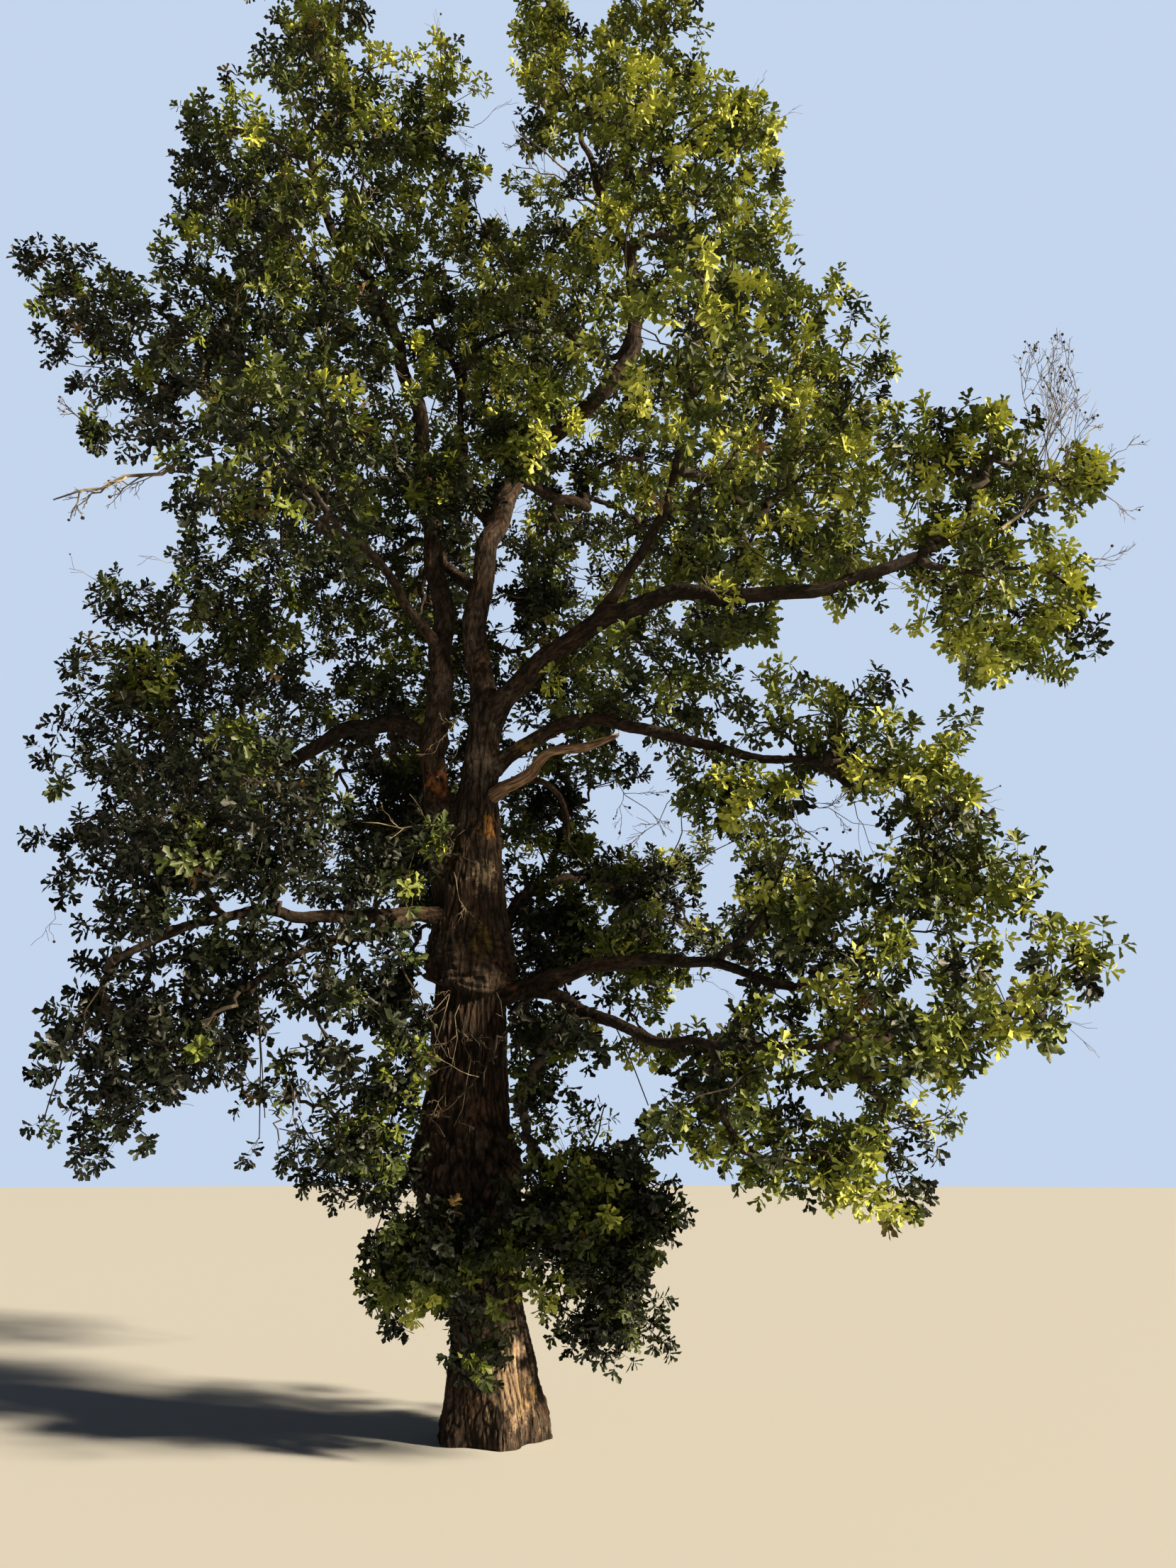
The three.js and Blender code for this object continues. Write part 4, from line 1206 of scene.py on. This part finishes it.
# The height below which shoots hang, the height above which they rise, and how strongly.
HANG_RISE = (2.5, 6.0), (-0.5, 0.3)
# How strongly a shoot keeps to the way of its bough, to the outside of the crown and to a way of its own.
BOUGH_WAY, OUTER_WAY, OWN_WAY = 0.40, 0.45, 0.95

twig_rng = np.random.default_rng(seed=37)
shoot_spray = np.repeat(np.arange(len(sprays)), SHOOTS)
lift = np.interp(sprays[shoot_spray, 2], *HANG_RISE)[:, None] * UP
shoot_ahead = unit(BOUGH_WAY * heading[shoot_spray] + OUTER_WAY * spray_out[shoot_spray] + lift
                   + OWN_WAY * unit(twig_rng.normal(size=(len(shoot_spray), 3))))
shoot_length = twig_rng.uniform(*SHOOT_LENGTH, (len(shoot_spray), 1))
shoot_tip = sprays[shoot_spray] + shoot_ahead * shoot_length
free = ~in_the_way(shoot_tip)
shoot_spray, shoot_ahead, shoot_length, shoot_tip, lift = (
    values[free] for values in (shoot_spray, shoot_ahead, shoot_length, shoot_tip, lift))
shoot_count = len(shoot_spray)
# Each twig is a slender pyramid: three points round its root and one at its tip.
shoot_paths = np.stack([knots[shoot_spray], shoot_tip], 1)
twig_points, _, _ = sweep(shoot_paths, np.full((shoot_count, 2), SHOOT_RADIUS), TWIG_SIDES)
twig_points = twig_points.reshape(shoot_count, 2, TWIG_SIDES, 3)
twig_points = np.concatenate([twig_points[:, 0], shoot_tip[:, None]], 1).reshape(-1, 3)
twig_faces = np.array([(2, 1, 0), (0, 1, 3), (1, 2, 3), (2, 0, 3)])
twig_faces = np.arange(shoot_count)[:, None, None] * (TWIG_SIDES + 1) + twig_faces[None]
twig_piece = mesh_piece("twigs", twig_points, [twig_faces.reshape(-1, 3)])
twig_piece.data.materials.append(young_wood)
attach(twig_piece, "root")

# The leaves: oak leaves, widest beyond the middle, with round lobes and a blunt tip, folded a little along
# the midrib and bent down at the end. The sprays differ in colour, partly at random and partly by painted
# light and shade: brighter where the sun falls on the crown and darker in its shade.
LEAF_LENGTH = 0.126
LEAF_SIZES = 0.70, 1.15
# One side of the outline, as shares of the length: how far along and how wide, at a lobe, a bay and a lobe.
LEAF_OUTLINE = ((0.28, 0.16), (0.44, 0.10), (0.76, 0.25))
# The fold along the midrib in degrees, and how far the tip bends down, as a share of the length.
LEAF_FOLD = 6, 28
LEAF_CURL = 0.0, 0.22
# Leaf 0 sits at the tip of its shoot, and each is turned on round the shoot from the one before it. By the
# leaf's number: how far down the shoot it sits, how far it spreads in degrees, and its share of the length.
LEAVES = 10
LEAF_TURN, TURN_STRAYS = math.radians(137.5), 0.25
LEAF_BACK = (0, 5, 6, 8), (0, 0.05, 0.08, 0.20)
LEAF_SPREAD, SPREAD_STRAYS = ((0, 5, 8), (28, 74, 90)), 11
LEAF_SHARE = (0, 4, 8), (0.85, 1.08, 0.9)
# A tuft of leaves turns up a little and each leaf down, and their upper sides turn to the sky.
TUFT_RISE = 0.05
LEAF_DROOP = 0.10
FACE_SKY, FACE_STRAYS = 0.5, 0.30
# A direction in which hardly any tuft points, from which its leaves are turned.
TUFT_ASKEW = 0.48, 0.8, 0.36
# From the brightest shoots to the deepest, in painted light and shade: name, colour, and the light from
# which a shoot has it.
LEAF_TONES = (("painted_sunlit_oak_leaf", "#b4ba51", 0.43), ("green_oak_leaf", "#6c782d", 0.16),
              ("olive_oak_leaf", "#414d20", -0.05), ("painted_shade_deep_oak_leaf", "#202a13", -0.26),
              ("shade_oak_leaf", "#12190c", -9.0))
RUSTY_LEAF = ("rusty_oak_leaf", "#77603a")
RUSTY_SHARE = 0.006
# How much more painted light each metre to the right, up from mid height and to the front gives, as the
# sun falls on the crown, and between which bounds.
LIGHT_RIGHT, LIGHT_UP, LIGHT_FRONT = 0.065, 0.035, 0.02
MID_HEIGHT = 8
LIGHT_BOUNDS = -0.45, 0.28
# How much the painted light differs between patches of the crown, between its sprays, and between a
# spray's shoots: painted dappled sun and shade.
PATCH_LIGHT, TONE_PATCH = 0.75, 0.55
SPRAY_LIGHT, SPRAY_PATCH = 0.5, 0.2
SHOOT_LIGHT = 0.10
# The shoots round the foot have more painted light and smaller leaves.
SKIRT_TOP = 3.0
SKIRT_LIGHT = 0.10
SKIRT_LEAF = 0.85
# The low boughs at the left hang in the tree's own shade, painted into their leaves' tones: how much less
# light they have, the heights at which this begins and is full, and how far left of the trunk it begins.
LEFT_SHADE = 0.22
LEFT_SHADE_FROM, LEFT_SHADE_FULL = 7.5, 5.0
LEFT_SHADE_SIDE = 0.5
# The leaves of these masses make one piece each.
REGIONS = {
    "crown_top": ("top_left", "top_left_shoulder", "top_middle", "top_right_west", "top_right_east",
                  "upper_left_front", "upper_right_front", "upper_right_shoulder"),
    "left_high": ("left_arm_tip", "left_arm", "left_heart", "left_front", "middle_heart", "left_crest"),
    "left_low": ("left_end", "left_inner", "low_left_front", "low_left_end", "low_left_weeping"),
    "skirt": ("skirt_left", "skirt_right"),
    "right_high": ("right_front", "right_shoulder", "right_shoulder_outer", "right_heart", "right_arm",
                   "right_arm_tip", "right_arm_spur"),
    "right_low": ("right_bough_crest", "right_bough_root", "right_bough_end", "low_right_tip",
                  "low_right_heart", "low_right_end", "low_right_weeping", "low_right_near"),
    "back_high": ("back_top", "back_left_high", "back_right_high"),
    "back_low": ("back_left_low", "back_right_low"),
}

leaf_rng = np.random.default_rng(seed=41)
blade = np.array([(0, 0), *LEAF_OUTLINE, (1, 0), *[(along, -across) for along, across in LEAF_OUTLINE]])
TIP = len(LEAF_OUTLINE) + 1
blade_faces = []
for low, waist, high in ((TIP + 1, TIP + 2, TIP + 3), (1, 2, 3)):
    half = [(0, low, waist), (0, waist, TIP), (waist, high, TIP)]
    blade_faces += [face[::-1] for face in half] if low == 1 else half
blade_faces = np.array(blade_faces)


def leaf_points(base, ahead, face, length, fold, curl):
    """The points of many leaves: each from its base along ahead, with the upper side turned to face."""
    across = np.cross(face, ahead)
    along, wide = blade[:, 0][None, :, None], blade[:, 1][None, :, None]
    height = np.abs(wide) * fold[:, None, None] - curl[:, None, None] * along ** 2
    shape = along * ahead[:, None] + wide * across[:, None] + height * face[:, None]
    return base[:, None] + shape * length[:, None, None]


step = np.tile(np.arange(LEAVES), shoot_count)
shoot = np.repeat(np.arange(shoot_count), LEAVES)
count = len(shoot)
axis = unit(shoot_ahead + TUFT_RISE * UP + lift)[shoot]
back = np.interp(step, *LEAF_BACK) * shoot_length[shoot, 0] / SHOOT_LENGTH[1]
base = shoot_tip[shoot] - shoot_ahead[shoot] * back[:, None]
turn = step * LEAF_TURN + np.repeat(leaf_rng.random(shoot_count) * math.tau, LEAVES)
turn += leaf_rng.normal(0, TURN_STRAYS, count)
spread = np.radians(np.interp(step, *LEAF_SPREAD) + leaf_rng.normal(0, SPREAD_STRAYS, count))
first = unit(np.cross(axis, TUFT_ASKEW))
radial = first * np.cos(turn)[:, None] + np.cross(axis, first) * np.sin(turn)[:, None]
leaf_ahead = unit(axis * np.cos(spread)[:, None] + radial * np.sin(spread)[:, None] - LEAF_DROOP * UP)
leaf_face = axis + FACE_SKY * UP + leaf_rng.normal(0, FACE_STRAYS, (count, 3))
leaf_face = unit(leaf_face - np.sum(leaf_face * leaf_ahead, 1, keepdims=True) * leaf_ahead)
leaf_length = LEAF_LENGTH * leaf_rng.uniform(*LEAF_SIZES, count)
leaf_length *= np.interp(step, *LEAF_SHARE)
leaf_length *= np.where(shoot_tip[shoot, 2] < SKIRT_TOP, SKIRT_LEAF, 1)
fold = np.tan(np.radians(leaf_rng.uniform(*LEAF_FOLD, count)))
curl = leaf_rng.uniform(*LEAF_CURL, count)
all_leaves = leaf_points(base, leaf_ahead, leaf_face, leaf_length, fold, curl)

leaf_materials = []
for name, colour in [tone[:2] for tone in LEAF_TONES] + [RUSTY_LEAF]:
    material, tree, shader = new_material(name)
    shader.inputs["Base Color"].default_value = linear(colour)
    shader.inputs["Roughness"].default_value = 0.5
    shader.inputs["Specular IOR Level"].default_value = 0.4
    leaf_materials.append(material)
# The tones are painted light and shade: a shoot's light sets which leaf colour it gets.
right, behind, above = sprays.T
sunny = LIGHT_RIGHT * right + LIGHT_UP * (above - MID_HEIGHT) - LIGHT_FRONT * behind
sunny = np.clip(sunny, *LIGHT_BOUNDS) + SKIRT_LIGHT * (above < SKIRT_TOP)
under = np.interp(above, (LEFT_SHADE_FULL, LEFT_SHADE_FROM), (1, 0))
sunny -= LEFT_SHADE * under * np.clip(-right - LEFT_SHADE_SIDE, 0, 1)
spray_light = sunny + PATCH_LIGHT * smooth_noise(sprays / TONE_PATCH)
spray_light += SPRAY_LIGHT * smooth_noise(sprays / SPRAY_PATCH + 60)
shoot_light = spray_light[shoot_spray] + leaf_rng.normal(0, SHOOT_LIGHT, shoot_count)
shoot_colour = np.sum(shoot_light[:, None] < np.array([tone[2] for tone in LEAF_TONES]), axis=1)
shoot_colour[leaf_rng.random(shoot_count) < RUSTY_SHARE] = len(LEAF_TONES)
region_of = {node: number for number, nodes in enumerate(REGIONS.values()) for node in nodes}
leaf_region = np.array([region_of[node] for node in masses])[spray_mass[shoot_spray]][shoot]
for number, (region, nodes) in enumerate(REGIONS.items()):
    mine = leaf_region == number
    faces = np.arange(mine.sum())[:, None, None] * len(blade) + blade_faces[None]
    piece = mesh_piece("leaves_" + region, all_leaves[mine].reshape(-1, 3), [faces.reshape(-1, 3)])
    for material in leaf_materials:
        piece.data.materials.append(material)
    colours = np.repeat(shoot_colour[shoot][mine], len(blade_faces)).astype(np.int32)
    piece.data.polygons.foreach_set("material_index", colours)
    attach(piece, "root")
    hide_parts(*nodes)

# Stage: a plain pale floor and sky, and a low warm sun from behind the camera at the right, softened.
bpy.ops.object.select_all(action="DESELECT")
bpy.ops.mesh.primitive_circle_add(vertices=96, radius=150, fill_type="NGON", location=(0, 0, 0))
floor = bpy.context.object
floor.name = "floor"
floor_material, tree, shader = new_material("pale_floor")
shader.inputs["Base Color"].default_value = linear("#c6c8ca")
shader.inputs["Roughness"].default_value = 0.9
floor.data.materials.append(floor_material)

world = bpy.data.worlds.new("pale_sky")
bpy.context.scene.world = world
world.use_nodes = True
background = world.node_tree.nodes["Background"]
background.inputs["Color"].default_value = linear("#c3d3ea")
background.inputs["Strength"].default_value = 0.09
# The sky behind the tree is shown paler than the light that it gives, as the photograph shows it.
seen_sky = add_node(world.node_tree, "ShaderNodeBackground", inputs={"Color": linear("#c4d5ee")})
rays = add_node(world.node_tree, "ShaderNodeLightPath")
both = add_node(world.node_tree, "ShaderNodeMixShader", inputs={
    0: rays.outputs["Is Camera Ray"],
    1: background.outputs["Background"],
    2: seen_sky.outputs["Background"],
})
world_output = world.node_tree.nodes["World Output"]
world.node_tree.links.new(both.outputs["Shader"], world_output.inputs["Surface"])
bpy.context.scene.view_settings.view_transform = "Standard"

sun_data = bpy.data.lights.new("low_sun", "SUN")
sun_data.energy = 9.8
sun_data.angle = math.radians(5)
sun_data.color = linear("#ffebc8")[:3]
sun = bpy.data.objects.new("low_sun", sun_data)
sun_heading, sun_height = math.radians(66), math.radians(25)
sun.rotation_euler = (math.pi / 2 - sun_height, 0, sun_heading)
bpy.context.scene.collection.objects.link(sun)

# The camera stands where the photograph was taken: 12 m before the trunk and 2.35 m above its foot, looking
# 18 degrees up.
PHOTO_TALL_PX = 2212
camera_data = bpy.data.cameras.new("camera")
camera_data.lens = camera_data.sensor_width * FOCUS_PX / PHOTO_TALL_PX
camera = bpy.data.objects.new("camera", camera_data)
camera.location = EYE
camera.rotation_euler = (math.radians(90) + LOOK_UP, 0, 0)
bpy.context.scene.collection.objects.link(camera)
bpy.context.scene.camera = camera
